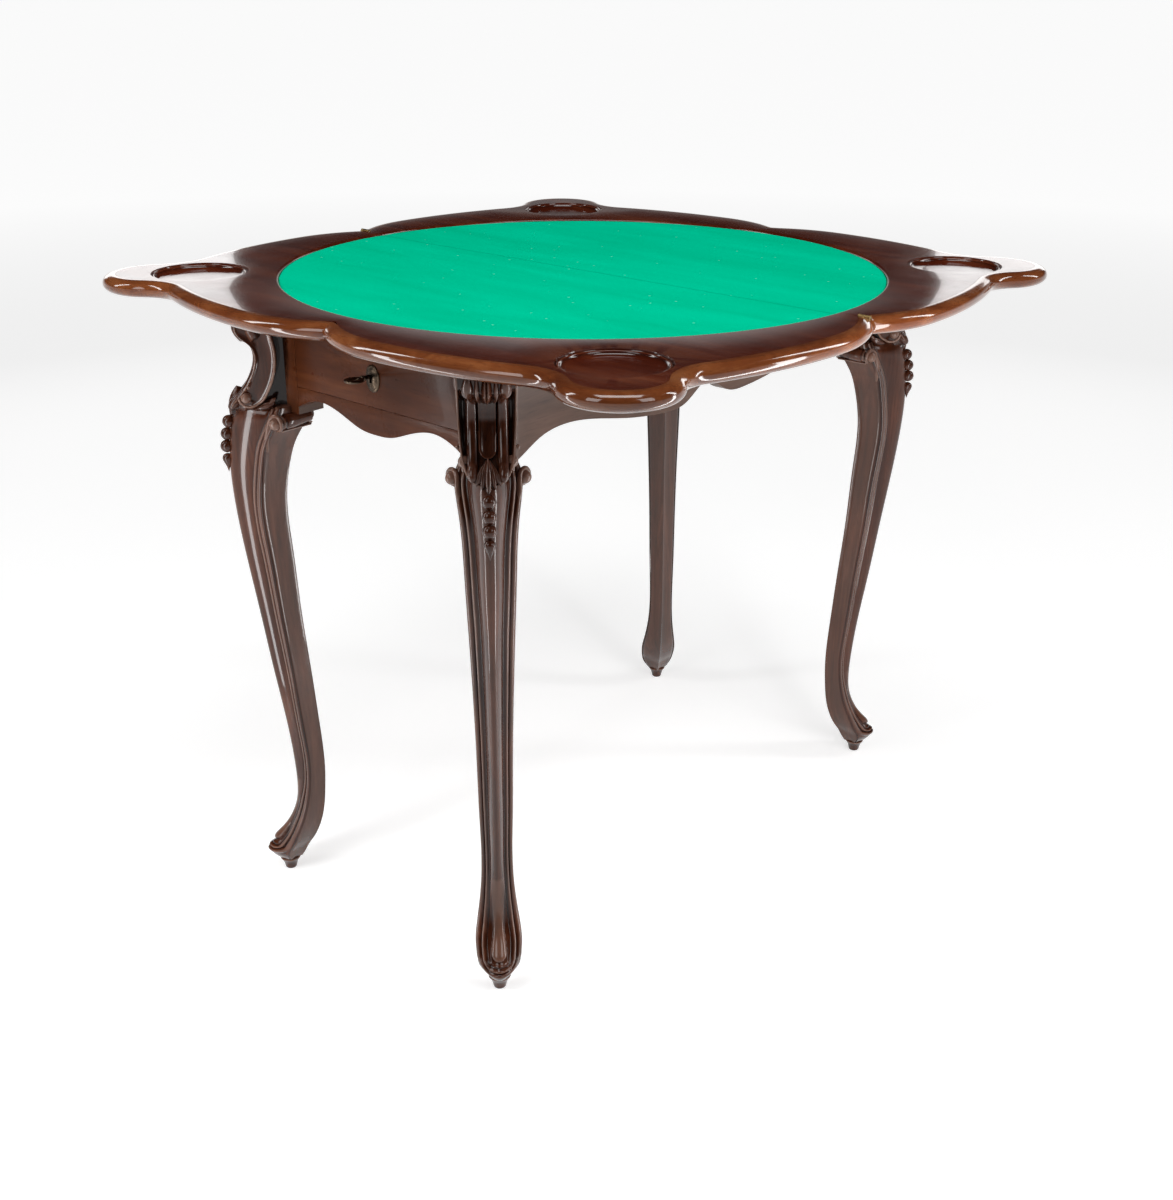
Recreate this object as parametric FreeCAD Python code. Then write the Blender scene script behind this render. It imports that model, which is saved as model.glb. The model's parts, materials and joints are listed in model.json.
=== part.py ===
import FreeCAD
import Part
import math
import os

# A games table with a swivelling, folding top.
# The top is shown open, turned across the frame, with its centre over the origin
# and its fold line along Y. X runs along the frame's long side, and the drawer
# opens towards -X. The frame stands on z = 0, a little off the open top's centre,
# because the folded and turned top is the one that lies centred on it.

V = FreeCAD.Vector
UP = V(0, 0, 1)
ALONG_X = V(1, 0, 0)
ALONG_Y = V(0, 1, 0)

# Whole table
table_height = 760.0
top_reach = 441.0
end_overhang = 74.0
frame_offset_x = 10.0
frame_offset_y = -11.0
foot_spread_x = 40.0
foot_spread_y = 30.0

# Clearances
moving_gap = 0.3
drawer_gap = 0.5
running_fit = 0.05
overrun = 5.0

# Top: the outline of a quarter side, from the notch at its middle to the corner lobe,
# in shares of top_reach
neck_reach_share = 0.92063
lobe_reach_share = 0.97506
notch_reach_share = 0.93878
lobe_radius_share = 0.14286
crest_offset_share = 0.20862
neck_offset_share = 0.6712
leaf_thickness = 20.0
nose_reach = 13.0
moulding_width = 16.0
nose_steps = 8

# Cloth recess
cloth_margin = 37.0
cloth_thickness = 1.2
cloth_recess = 3.5

# Counter wells
well_inset = 37.5
well_radius = 58.0
well_step = 3.4
well_groove = 1.6
well_bead_radius = 1.7
well_rim = 7.5
well_depth = 6.5

# Legs, measured in the upright plane through the frame's corner, and down from the top
leg_top_drop = 115.0
knee_reach = 32.0
ankle_reach = 54.0
leg_half_width = 26.5
ridge_radius_share = 0.12
roll_share = 0.15
roll_shape_shares = ((-1.0, 1.0), (0.2, 0.0), (1.4, 0.9), (2.6, 1.0), (3.6, 1.9))
pad_radius = 9.0
pad_height = 15.0
pad_offset = 0.5
pad_overlap = 2.4
pad_shares = ((0.85, 0.0), (1.0, 0.2), (1.0, 0.7))
pad_flare_share = 1.15
ear_offset = 30.0
ear_spread = 39.0
ear_drop = 142.0
ear_radius = 6.5
bead_radius = 6.8
bead_drops = (148.0, 163.0, 178.0)
tear_drop = 192.0
tear_length = 15.0
tear_radius = 5.4
tear_tip_radius = 1.0
leaf_boss_drop = 126.0
leaf_boss_radius = 15.0
leaf_boss_depth_share = 0.7

# Posts and consoles above the legs
post_x = 36.0
post_y = 46.0
post_drop = 133.0
console_drop = 127.0
console_half_width = 29.0
console_depth = 23.0
console_neck = 22.0
console_curl = 11.0
console_shares = ((1.0, 0.83), (0.15, 0.71), (-0.65, 0.72), (-1.1, 0.52),
                  (-0.2, 0.29), (0.77, 0.15), (1.45, 0.0))
console_foot_share = 0.62
console_bend_shares = (0.9, 0.42)
console_waist = 12.0
ball_radius = 5.8
ball_spread = 15.5
ball_reach = 11.0

# Friezes
frieze_thickness = 20.0
frieze_drop = 133.0
frieze_rise = 25.0
short_rise = 22.0
tenon_length = 22.0
tenon_thickness = 7.0
tenon_height = 50.0
apron_tenon_height = 16.0
lap_shoulder = 3.0
lap_thickness = 8.0

# Bearers and pivot
bearer_thickness = 20.0
bearer_wall = 10.0
cross_bearer_width = 50.0
cross_bearer_inset = 207.0
bearer_tenon = 8.0
block_height = 40.0
block_reach = 24.0
stud_radius = 6.0
flange_radius = 30.0
flange_thickness = 3.0
bush_radius = 9.0
bush_length = 10.0
washer_radius = 13.0
washer_thickness = 1.5
nut_radius = 11.0
nut_height = 7.0
counterbore_radius = 15.0
peg_radius = 5.825
peg_length = 15.0
peg_glue_depth = 8.0
peg_swing = 90.0
flange_screws = 3
nut_sides = 6

# Drawer
drawer_drop = 99.5
drawer_height = 66.0
drawer_length = 287.0
drawer_side_thickness = 9.0
drawer_side_height = 52.0
drawer_side_lift = 3.5
drawer_lap = 12.0
drawer_bottom_thickness = 6.0
drawer_bottom_lift = 4.0
groove_depth = 4.0
top_rail_depth = 45.0
runner_thickness = 10.0
runner_bearing = 14.0
guide_height = 24.0

# Lock, escutcheon and key
key_lift = 35.5
lock_width = 56.0
lock_height = 48.0
lock_depth = 13.0
lock_wall = 1.5
lock_screw_share = 0.6
lock_screw_inset = 0.2
bolt_width = 18.0
bolt_thickness = 6.0
bolt_length = 24.0
bolt_rise = 7.0
bolt_inset = 0.4
lock_flange = 10.0
strike_thickness = 1.2
strike_margin = 6.0
escutcheon_width = 22.0
escutcheon_height = 31.0
escutcheon_rise = 3.5
escutcheon_drop = 3.0
escutcheon_dome_shares = ((0.0, 1.0), (0.3, 1.0), (0.75, 0.86), (1.0, 0.66))
keyhole_radius = 3.0
keyhole_slot_width = 3.6
keyhole_slot_drop = 12.5
shank_radius = 2.3
shank_length = 13.0
bow_length = 22.0
bow_width = 22.0
bow_thickness = 3.2
bow_slot_length = 13.0
bow_slot_width = 5.6
bit_reach = 11.0
bit_thickness = 3.0
bit_depth = 4.0

# Leaf hinges and tongues
hinge_offset = 4.0
hinge_length = 15.0
hinge_plate_thickness = 3.0
hinge_plate_height = 14.0
knuckle_radius = 2.0
hinge_pin_radius = 0.9
screw_head_radius = 2.2
screw_head_depth = 1.5
screw_shank_radius = 1.1
screw_length = 11.0
screw_ring_share = 0.64
tongue_offset = 180.0
tongue_width = 30.0
tongue_thickness = 3.0
tongue_reach = 6.0
tongue_glue_depth = 12.0
tongue_drop = 7.0

# Sizes that follow the top
frame_offset = V(frame_offset_x, frame_offset_y, 0)
pivot_x = (frame_offset_x - frame_offset_y - top_reach / 2) / 2
pivot_y = (frame_offset_x + frame_offset_y + top_reach / 2) / 2
swivel_bearer_width = 2 * (counterbore_radius + bearer_wall)
peg_room = 2 * (peg_radius + moving_gap)
frieze_inner_y = pivot_y - frame_offset_y + swivel_bearer_width / 2 + peg_room
half_width = frieze_inner_y + frieze_thickness
half_length = top_reach - end_overhang
foot_x = half_length + foot_spread_x / 2
foot_y = half_width + foot_spread_y / 2
neck_reach = top_reach * neck_reach_share
lobe_reach = top_reach * lobe_reach_share
notch_reach = top_reach * notch_reach_share
lobe_radius = top_reach * lobe_radius_share
crest_offset = top_reach * crest_offset_share
neck_offset = top_reach * neck_offset_share
cloth_radius = neck_reach - cloth_margin
well_place = lobe_reach - lobe_radius - well_inset
well_floor_radius = well_radius - well_rim
swivel_bearer_x = pivot_x - frame_offset_x
cross_bearer_x = half_length - cross_bearer_inset

# Heights that follow the table's
leg_top = table_height - leg_top_drop
post_foot = table_height - post_drop
console_foot = table_height - console_drop
frieze_foot = table_height - frieze_drop
drawer_foot = table_height - drawer_drop
key_height = drawer_foot + key_lift
ear_height = table_height - ear_drop
bead_heights = [table_height - drop for drop in bead_drops]
tear_height = table_height - tear_drop
leaf_boss_height = table_height - leaf_boss_drop

# Places that follow from the sizes
leaf_bottom = table_height - leaf_thickness
frame_top = leaf_bottom - moving_gap
fold_axis_z = table_height + moving_gap / 2
post_face_x = half_length - post_x
post_face_y = half_width - post_y
frieze_inner_x = half_length - frieze_thickness
bearer_bottom = frame_top - bearer_thickness
seam = moving_gap / 2


def box(low, high):
    """A block between two opposite corners."""
    size = [high[i] - low[i] for i in range(3)]
    return Part.makeBox(size[0], size[1], size[2], V(*low))


def rod(radius, length, start, direction=UP):
    return Part.makeCylinder(radius, length, start, direction)


def arc(first, middle, last):
    return Part.Arc(V(*first), V(*middle), V(*last)).toShape()


def line(first, last):
    return Part.makeLine(V(*first), V(*last))


def prism(points, direction):
    """A straight-sided solid from a closed list of corners."""
    corners = [V(*point) for point in points]
    face = Part.Face(Part.makePolygon(corners + corners[:1]))
    return face.extrude(direction)


def turned(points, centre=V(0, 0, 0)):
    """A solid of revolution about a vertical axis from (radius, height) corners."""
    corners = [V(radius, 0, height) for radius, height in points]
    face = Part.Face(Part.makePolygon(corners + corners[:1]))
    solid = face.revolve(V(0, 0, 0), UP, 360)
    solid.translate(centre)
    return solid


def fused(shapes):
    whole = shapes[0].fuse(shapes[1:]) if len(shapes) > 1 else shapes[0]
    return whole.removeSplitter()


def four_corners(shape):
    """The shape and its mirror images, keyed by corner."""
    across_x = shape.mirror(V(0, 0, 0), ALONG_X)
    return {
        "back_right": shape,
        "back_left": across_x,
        "front_right": shape.mirror(V(0, 0, 0), ALONG_Y),
        "front_left": across_x.mirror(V(0, 0, 0), ALONG_Y),
    }


# Outline of the top
def side_arcs(inset):
    """Centres, radii and joints of the arcs of half a side, from notch to lobe.

    Each side is drawn with u along it and v outwards. The notch edge has a tight
    crest arc, the long back has a wide one, the neck is hollow and the lobe round.
    """
    lobe_centre = lobe_reach - lobe_radius
    rise = top_reach - notch_reach
    crest_radius = (crest_offset ** 2 + rise ** 2) / (2 * rise)
    lobe_gap = lobe_centre - neck_offset
    hollow = neck_reach - lobe_centre
    neck_radius = (lobe_gap ** 2 + hollow ** 2 - lobe_radius ** 2) / (2 * (lobe_radius - hollow))
    fall = top_reach - neck_reach
    spread = neck_offset - crest_offset
    back_radius = (spread ** 2 + fall ** 2) / (2 * fall) - neck_radius
    crest = (crest_offset, top_reach - crest_radius)
    back = (crest_offset, top_reach - back_radius)
    neck = (neck_offset, neck_reach + neck_radius)
    lobe = (lobe_centre, lobe_centre)
    return {
        "crest": (crest, crest_radius - inset),
        "back": (back, back_radius - inset),
        "neck": (neck, neck_radius + inset),
        "lobe": (lobe, lobe_radius - inset),
    }


def on_circle(circle, angle):
    (u, v), radius = circle
    return (u + radius * math.cos(angle), v + radius * math.sin(angle))


def heading(first, second):
    return math.atan2(second[1] - first[1], second[0] - first[0])


def half_side(inset):
    """Three-point arcs of half a side in (u, v)."""
    circles = side_arcs(inset)
    crest, back = circles["crest"], circles["back"]
    neck, lobe = circles["neck"], circles["lobe"]
    top = math.pi / 2
    notch_angle = math.acos(-crest[0][0] / crest[1])
    back_angle = heading(back[0], neck[0])
    neck_angle = heading(lobe[0], neck[0])
    return [
        [on_circle(crest, a) for a in (notch_angle, (notch_angle + top) / 2, top)],
        [on_circle(back, a) for a in (top, (top + back_angle) / 2, back_angle)],
        [on_circle(neck, a) for a in (back_angle + math.pi,
                                      (back_angle + neck_angle) / 2 + math.pi,
                                      neck_angle + math.pi)],
        [on_circle(lobe, a) for a in (neck_angle, (neck_angle + top / 2) / 2, top / 2)],
    ]


def outline_wire(inset, z):
    """The whole outline of the top at one height, drawn inside itself by inset."""
    half = half_side(inset)
    edges = []
    for quarter in range(4):
        turn = FreeCAD.Rotation(UP, -90 * quarter)
        forward = [[(u, v) for u, v in points] for points in half]
        mirrored = [[(v, u) for u, v in reversed(points)] for points in reversed(half)]
        for points in forward + mirrored:
            placed = [turn.multVec(V(u, v, z)) for u, v in points]
            edges.append(Part.Arc(*placed).toShape())
    return Part.Wire(Part.__sortEdges__(edges))


def half_space(side):
    """Everything on one side of the fold line, up to the seam."""
    reach = top_reach + overrun
    low, high = (-reach, -seam) if side < 0 else (seam, reach)
    return box((low, -reach, leaf_bottom - overrun), (high, reach, table_height + overrun))


def nosed_plate():
    """The top as one plate with its half-round edge."""
    middle = (leaf_bottom + table_height) / 2
    wires = []
    for step in range(nose_steps + 1):
        angle = math.radians(-90 + 180 * step / nose_steps)
        inset = nose_reach * (1 - math.cos(angle))
        height = middle + leaf_thickness / 2 * math.sin(angle)
        wires.append(outline_wire(inset, height))
    return Part.makeLoft(wires, True, True)


def panel_plate():
    face = Part.Face(outline_wire(moulding_width, leaf_bottom))
    return face.extrude(V(0, 0, leaf_thickness))


def cloth_pocket():
    """The round recess for the cloth with its rounded lip."""
    floor = table_height - cloth_recess
    lip = cloth_radius + cloth_recess
    over = table_height + overrun
    slope = math.sqrt(0.5)
    edges = [
        line((0, 0, floor), (cloth_radius, 0, floor)),
        arc((cloth_radius, 0, floor),
            (lip - cloth_recess * slope, 0, floor + cloth_recess * slope),
            (lip, 0, table_height)),
        line((lip, 0, table_height), (lip, 0, over)),
        line((lip, 0, over), (0, 0, over)),
        line((0, 0, over), (0, 0, floor)),
    ]
    return Part.Face(Part.Wire(edges)).revolve(V(0, 0, 0), UP, 360)


def well_pocket(x, y):
    """A dished counter well: a sunk bead ring round a shallow dish."""
    step_floor = table_height - well_step
    groove_radius = well_radius - well_groove
    bead_outer = groove_radius
    bead_inner = bead_outer - 2 * well_bead_radius
    dish = table_height - well_depth
    over = table_height + overrun
    bead_middle = (bead_outer + bead_inner) / 2
    edges = [
        line((0, 0, dish), (well_floor_radius, 0, dish)),
        line((well_floor_radius, 0, dish), (bead_inner, 0, step_floor)),
        arc((bead_inner, 0, step_floor), (bead_middle, 0, step_floor + well_bead_radius),
            (bead_outer, 0, step_floor)),
        line((bead_outer, 0, step_floor), (well_radius, 0, step_floor)),
        line((well_radius, 0, step_floor), (well_radius, 0, over)),
        line((well_radius, 0, over), (0, 0, over)),
        line((0, 0, over), (0, 0, dish)),
    ]
    pocket = Part.Face(Part.Wire(edges)).revolve(V(0, 0, 0), UP, 360)
    pocket.translate(V(x, y, 0))
    return pocket


# Leaf hinges and the tongues in the butting edges
def hinge_span(end):
    """Lowest and highest y of a hinge; end is -1 at the front and 1 at the back."""
    far = end * (notch_reach - hinge_offset)
    near = far - end * hinge_length
    return min(near, far), max(near, far)


def knuckle_spans(end):
    """The barrel in three lengths: the outer two are the lower leaf's."""
    low, high = hinge_span(end)
    third = hinge_length / 3
    return (low, low + third), (low + third, high - third), (high - third, high)


def hinge_plate_box(side, end):
    low, high = hinge_span(end)
    inner, outer = sorted((side * seam, side * (seam + hinge_plate_thickness)))
    return box((inner, low, table_height - hinge_plate_height), (outer, high, table_height))


def along_fold(radius, low, high):
    return rod(radius, high - low, V(0, low, fold_axis_z), ALONG_Y)


def hinge_screw_places(side, end):
    low, high = hinge_span(end)
    drop = fold_axis_z - (hinge_plate_height + knuckle_radius) / 2
    quarter = hinge_length / 4
    return [V(side * seam, y, drop) for y in (low + quarter, high - quarter)]


def hinge_screw(place, side):
    """A countersunk screw driven into a leaf's butting edge."""
    direction = V(side, 0, 0)
    head = Part.makeCone(screw_head_radius, screw_shank_radius, screw_head_depth, place, direction)
    return head.fuse(rod(screw_shank_radius, screw_length, place, direction)).removeSplitter()


def hinge_plate(side, end):
    """A plate let into the butting edge, with its share of the barrel."""
    outer_spans = (knuckle_spans(end)[0], knuckle_spans(end)[2])
    middle_span = (knuckle_spans(end)[1],)
    own, other = (outer_spans, middle_span) if side < 0 else (middle_span, outer_spans)
    plate = hinge_plate_box(side, end)
    for low, high in other:
        plate = plate.cut(along_fold(knuckle_radius + moving_gap, low - moving_gap, high + moving_gap))
    for low, high in own:
        inset_low = low + (moving_gap if side > 0 else 0)
        inset_high = high - (moving_gap if side > 0 else 0)
        plate = plate.fuse(along_fold(knuckle_radius, inset_low, inset_high))
    bore = hinge_pin_radius if side < 0 else hinge_pin_radius + running_fit
    low, high = hinge_span(end)
    plate = plate.cut(along_fold(bore, low - overrun, high + overrun))
    for place in hinge_screw_places(side, end):
        plate = plate.cut(hinge_screw(place, side))
    return plate.removeSplitter()


def hinge_pin(end):
    low, high = hinge_span(end)
    return along_fold(hinge_pin_radius, low, high)


def hinge_seats(side):
    """What the two hinges need cut out of a leaf."""
    seats = []
    for end in (-1, 1):
        low, high = hinge_span(end)
        seats.append(hinge_plate_box(side, end))
        seats.append(along_fold(knuckle_radius + moving_gap, low - moving_gap, high + moving_gap))
        for place in hinge_screw_places(side, end):
            seats.append(hinge_screw(place, side))
    return seats


def tongue(y):
    """A tongue glued into the lower leaf, reaching across the seam."""
    top = fold_axis_z - tongue_drop
    return box((-tongue_glue_depth, y - tongue_width / 2, top - tongue_thickness),
               (tongue_reach, y + tongue_width / 2, top))


def tongue_mortise(y):
    """The room that a tongue needs in the upper leaf, also while the leaf folds."""
    sweep = math.hypot(tongue_reach, tongue_drop + tongue_thickness)
    half = tongue_width / 2 + moving_gap
    return box((0, y - half, fold_axis_z - sweep - 2 * moving_gap),
               (tongue_reach + 2 * moving_gap, y + half, fold_axis_z - tongue_drop + moving_gap))


def leaf_tongues():
    return Part.makeCompound([tongue(side * tongue_offset) for side in (-1, 1)])


# Pivot under the lower leaf
def pivot_point(z):
    return V(pivot_x, pivot_y, z)


def frame_pivot(z):
    """The pivot as seen from the frame's own centre."""
    return pivot_point(z) - frame_offset


def flange_screw_places():
    ring = flange_radius * screw_ring_share
    places = []
    for step in range(flange_screws):
        angle = math.radians(360 * (step + 0.5) / flange_screws)
        places.append(V(pivot_x + ring * math.cos(angle), pivot_y + ring * math.sin(angle), leaf_bottom))
    return places


def flange_screw(place):
    head = Part.makeCone(screw_head_radius, screw_shank_radius, screw_head_depth, place, UP)
    return head.fuse(rod(screw_shank_radius, screw_length, place)).removeSplitter()


def stud_end():
    return bearer_bottom + (bearer_thickness - bush_length - moving_gap - washer_thickness - nut_height) / 2


def pivot_stud():
    flange = rod(flange_radius, flange_thickness, pivot_point(leaf_bottom))
    stud = rod(stud_radius, leaf_bottom + flange_thickness - stud_end(), pivot_point(stud_end()))
    body = flange.fuse(stud)
    for place in flange_screw_places():
        body = body.cut(flange_screw(place))
    return body.removeSplitter()


def washer_top():
    return frame_top - bush_length - moving_gap


def pivot_washer():
    low = washer_top() - washer_thickness
    ring = rod(washer_radius, washer_thickness, pivot_point(low))
    return ring.cut(rod(stud_radius, washer_thickness, pivot_point(low)))


def pivot_nut():
    low = washer_top() - washer_thickness - nut_height
    corners = []
    for step in range(nut_sides):
        angle = math.radians(360 * step / nut_sides)
        corners.append((pivot_x + nut_radius * math.cos(angle), pivot_y + nut_radius * math.sin(angle), low))
    nut = prism(corners, V(0, 0, nut_height))
    return nut.cut(rod(stud_radius, nut_height, pivot_point(low)))


def pivot_bush():
    foot = frame_pivot(frame_top - bush_length)
    return rod(bush_radius, bush_length, foot).cut(rod(stud_radius + running_fit, bush_length, foot))


def stop_peg():
    """It meets the bearer with the top open and the back frieze with the top turned."""
    place = V(pivot_x + (swivel_bearer_width + peg_room) / 2, pivot_y - peg_swing,
              leaf_bottom - peg_length)
    return rod(peg_radius, peg_length + peg_glue_depth, place)


# Leaves
def leaf_panel(side, panel, pockets):
    leaf = panel.common(half_space(side))
    leaf = leaf.cut(pockets + hinge_seats(side))
    if side > 0:
        return leaf.cut([tongue_mortise(-tongue_offset), tongue_mortise(tongue_offset)])
    hardware = [pivot_stud(), stop_peg(), tongue(-tongue_offset), tongue(tongue_offset)]
    return leaf.cut(hardware + [flange_screw(place) for place in flange_screw_places()])


def leaf_moulding(side, edging):
    return edging.common(half_space(side)).cut(hinge_seats(side))


def cloth_half(side):
    disc = rod(cloth_radius, cloth_thickness, V(0, 0, table_height - cloth_recess))
    return disc.common(half_space(side))


# Legs, drawn in the corner where x and y are both positive
# Stations of the leg: height share of leg_top, front and back in the corner plane, half width.
# Front and back are shares of knee_reach and ankle_reach, the width is a share of leg_half_width.
leg_station_shares = (
    (1.000, 0.45, -1.44, 1.24),
    (0.950, 0.78, -1.15, 1.14),
    (0.915, 0.92, -0.90, 1.10),
    (0.876, 0.98, -0.74, 1.04),
    (0.806, 0.95, -0.60, 1.00),
    (0.698, 0.72, -0.64, 0.93),
    (0.574, 0.37, -0.72, 0.83),
    (0.450, 0.03, -0.84, 0.76),
    (0.326, -0.33, -0.95, 0.71),
    (0.233, -0.51, -1.00, 0.67),
    (0.171, -0.49, -0.96, 0.76),
    (0.124, -0.22, -0.88, 0.92),
    (0.090, 0.20, -0.75, 1.01),
    (0.065, 0.63, -0.59, 0.93),
    (0.050, 0.81, -0.47, 0.82),
    (0.037, 0.69, -0.37, 0.62),
    (0.023, 0.38, -0.26, 0.40),
)


def leg_section(height, front, back, half):
    """A square set cornerwise: flat inner faces, beaded side corners, a round front."""
    corner = back + half
    roll = roll_share * half
    ridge = ridge_radius_share * half
    skirt, roll_top, groove, bead, cheek = [
        (corner + forward * roll, half - inward * roll) for forward, inward in roll_shape_shares]
    heel = (back + ridge, ridge)

    def at(point, flip=1):
        return (point[0], flip * point[1], height)

    edges = [
        arc(at(cheek, -1), (front, 0, height), at(cheek)),
        arc(at(cheek), at(bead), at(groove)),
        arc(at(groove), at(roll_top), at(skirt)),
        line(at(skirt), at(heel)),
        arc(at(heel), (back + ridge / 2, 0, height), at(heel, -1)),
        line(at(heel, -1), at(skirt, -1)),
        arc(at(skirt, -1), at(roll_top, -1), at(groove, -1)),
        arc(at(groove, -1), at(bead, -1), at(cheek, -1)),
    ]
    return Part.Wire(edges)


def leg_front(height):
    """How far the leg's front stands out at a height, between its stations."""
    stations = [(share * leg_top, front * knee_reach) for share, front, back, half in leg_station_shares]
    for (high, high_front), (low, low_front) in zip(stations, stations[1:]):
        if low <= height <= high:
            return low_front + (high_front - low_front) * (height - low) / (high - low)
    return stations[0][1]


def ball(radius, s, t, z):
    return Part.makeSphere(radius, V(s, t, z))


def pendant():
    """The string of beads and the pointed drop down the knee."""
    beads = [ball(bead_radius, leg_front(z) + bead_radius / 4, 0, z) for z in bead_heights]
    beads.append(ball(tear_radius, leg_front(tear_height), 0, tear_height))
    tip = V(leg_front(tear_height), 0, tear_height - tear_length)
    beads.append(Part.makeCone(tear_tip_radius, tear_radius, tear_length, tip, UP))
    boss_middle = leg_front(leaf_boss_height) - leaf_boss_radius * leaf_boss_depth_share
    boss = ball(leaf_boss_radius, boss_middle, 0, leaf_boss_height)
    return beads + [boss]


def ear_rolls():
    """The rolls that cap the inner faces, each ending in a small curl."""
    inward = V(-1, -1, 0).normalize()
    length = (ear_spread - ear_radius) * math.sqrt(2)
    rolls = []
    for side in (1, -1):
        start = V(-ear_offset, side * ear_spread, ear_height)
        direction = V(inward.x, side * inward.y, 0)
        rolls.append(rod(ear_radius, length, start, direction))
        rolls.append(Part.makeSphere(ear_radius, start))
    return rolls


def to_corner(shape):
    """Turn a shape from the corner plane into the back right corner."""
    shape.rotate(V(0, 0, 0), UP, 45)
    shape.translate(V(foot_x, foot_y, 0))
    return shape


def leg():
    wires = [leg_section(share * leg_top, front * knee_reach, back * ankle_reach, half * leg_half_width)
             for share, front, back, half in reversed(leg_station_shares)]
    shaft = Part.makeLoft(wires, True, False)
    pad_top = leg_station_shares[-1][0] * leg_top + pad_overlap
    pad_points = [(radius * pad_radius, height * pad_height) for radius, height in pad_shares]
    flare = [(pad_flare_share * pad_radius, pad_top), (0, pad_top)]
    pad = turned([(0, 0)] + pad_points + flare, V(-pad_offset, 0, 0))
    carved = to_corner(fused([shaft, pad] + pendant() + ear_rolls()))
    below_console = box((0, 0, 0), (2 * half_length, 2 * half_width, console_foot))
    post = box((post_face_x, post_face_y, post_foot), (half_length, half_width, frame_top))
    whole = carved.common(below_console).fuse(post).removeSplitter()
    long_side = box((0, frieze_inner_y, post_foot), (post_face_x, half_width, frame_top))
    short_side = box((frieze_inner_x, 0, post_foot), (half_length, post_face_y, frame_top))
    return whole.cut([long_side, short_side])


def legs():
    """The four legs, each cut for the friezes and rails that meet it."""
    near_cuts = apron_tenons() + front_rail_laps() + inner_rail_laps()
    far_cuts = [far_end_frieze()]
    jointed = {}
    for corner, shape in four_corners(leg()).items():
        end_cuts = near_cuts if corner.endswith("left") else far_cuts
        side = 1 if corner.startswith("back") else -1
        jointed[corner] = shape.cut([long_frieze(side)] + end_cuts)
    return jointed


def console_profile():
    """Side view of the console: a curled capital over a C-shaped band."""
    height = frame_top - console_foot
    curl, curl_tip, throat, waist, lap, lap_middle, foot = [
        (reach * console_curl, 0, console_foot + rise * height) for reach, rise in console_shares]
    back = -(ankle_reach + console_depth)
    return [
        line((back, 0, frame_top), (console_curl, 0, frame_top)),
        line((console_curl, 0, frame_top), curl),
        arc(curl, curl_tip, throat),
        arc(throat, waist, lap),
        arc(lap, lap_middle, foot),
        line(foot, (back, 0, console_foot)),
        line((back, 0, console_foot), (back, 0, frame_top)),
    ]


def console():
    half = console_half_width
    side_view = Part.Face(Part.Wire(console_profile())).extrude(V(0, 2 * half, 0))
    side_view.translate(V(0, -half, 0))
    reach = ankle_reach + console_depth
    shoulder = console_foot + half
    foot_half = half * console_foot_share
    bend = (half * console_bend_shares[0], console_foot + half * console_bend_shares[1])
    front_view = Part.Face(Part.Wire([
        line((0, -half, frame_top), (0, half, frame_top)),
        line((0, half, frame_top), (0, half, shoulder)),
        arc((0, half, shoulder), (0, bend[0], bend[1]), (0, foot_half, console_foot)),
        line((0, foot_half, console_foot), (0, -foot_half, console_foot)),
        arc((0, -foot_half, console_foot), (0, -bend[0], bend[1]), (0, -half, shoulder)),
        line((0, -half, shoulder), (0, -half, frame_top)),
    ])).extrude(V(2 * reach, 0, 0))
    front_view.translate(V(-reach, 0, 0))
    block = side_view.common(front_view)
    band_back = -(console_waist + console_depth)
    for side in (1, -1):
        near, far = sorted((side * console_neck, side * (half + overrun)))
        block = block.cut(box((-2 * reach, near, console_foot - overrun),
                              (band_back, far, frame_top + overrun)))
    balls = [ball(ball_radius, ball_reach, side * ball_spread, console_foot + ball_radius)
             for side in (1, -1)]
    placed = to_corner(fused([block] + balls))
    return placed.cut(box((0, 0, 0), (half_length, half_width, table_height)))


# Friezes
def scalloped(half_span, shares, rise, top):
    """A frieze face in (along, height), its lower edge a smooth scalloped curve."""
    right = [(share * half_span, frieze_foot + lift * rise) for share, lift in shares]
    left = [(-along, height) for along, height in reversed(right) if along > 0]
    points = [V(along, 0, height) for along, height in left + right]
    curve = Part.BSplineCurve()
    curve.interpolate(points)
    first, last = points[0], points[-1]
    edges = [
        curve.toShape(),
        line((last.x, 0, last.z), (last.x, 0, top)),
        line((last.x, 0, top), (first.x, 0, top)),
        line((first.x, 0, top), (first.x, 0, first.z)),
    ]
    return Part.Face(Part.Wire(edges))


# Lower edges from the middle outwards: share of the half span, share of the rise
long_edge_shares = ((0.0, 0.92), (0.06, 0.62), (0.13, 0.12), (0.24, 0.02), (0.45, 0.35),
                    (0.66, 0.90), (0.79, 1.0), (0.88, 0.78), (0.95, 0.35), (1.0, 0.02))
short_edge_shares = ((0.0, 0.08), (0.18, 0.16), (0.38, 0.56), (0.56, 0.90), (0.70, 1.0),
                     (0.84, 0.86), (1.0, 0.42))


def tenons(half_span, low_face):
    """Tenons on both ends of a frieze, in its own flat frame."""
    low = frame_top - tenon_height - tenon_thickness
    high = frame_top - tenon_thickness
    middle = low_face + frieze_thickness / 2
    half = tenon_thickness / 2
    return [
        box((half_span, middle - half, low), (half_span + tenon_length, middle + half, high)),
        box((-half_span - tenon_length, middle - half, low), (-half_span, middle + half, high)),
    ]


def long_frieze(side):
    face = scalloped(post_face_x, long_edge_shares, frieze_rise, frame_top)
    board = face.extrude(V(0, frieze_thickness, 0))
    board.translate(V(0, frieze_inner_y, 0))
    board = fused([board] + tenons(post_face_x, frieze_inner_y))
    if side < 0:
        board = board.mirror(V(0, 0, 0), ALONG_Y)
    seats = bearer_ends(side)
    return board.cut(seats)


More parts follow.
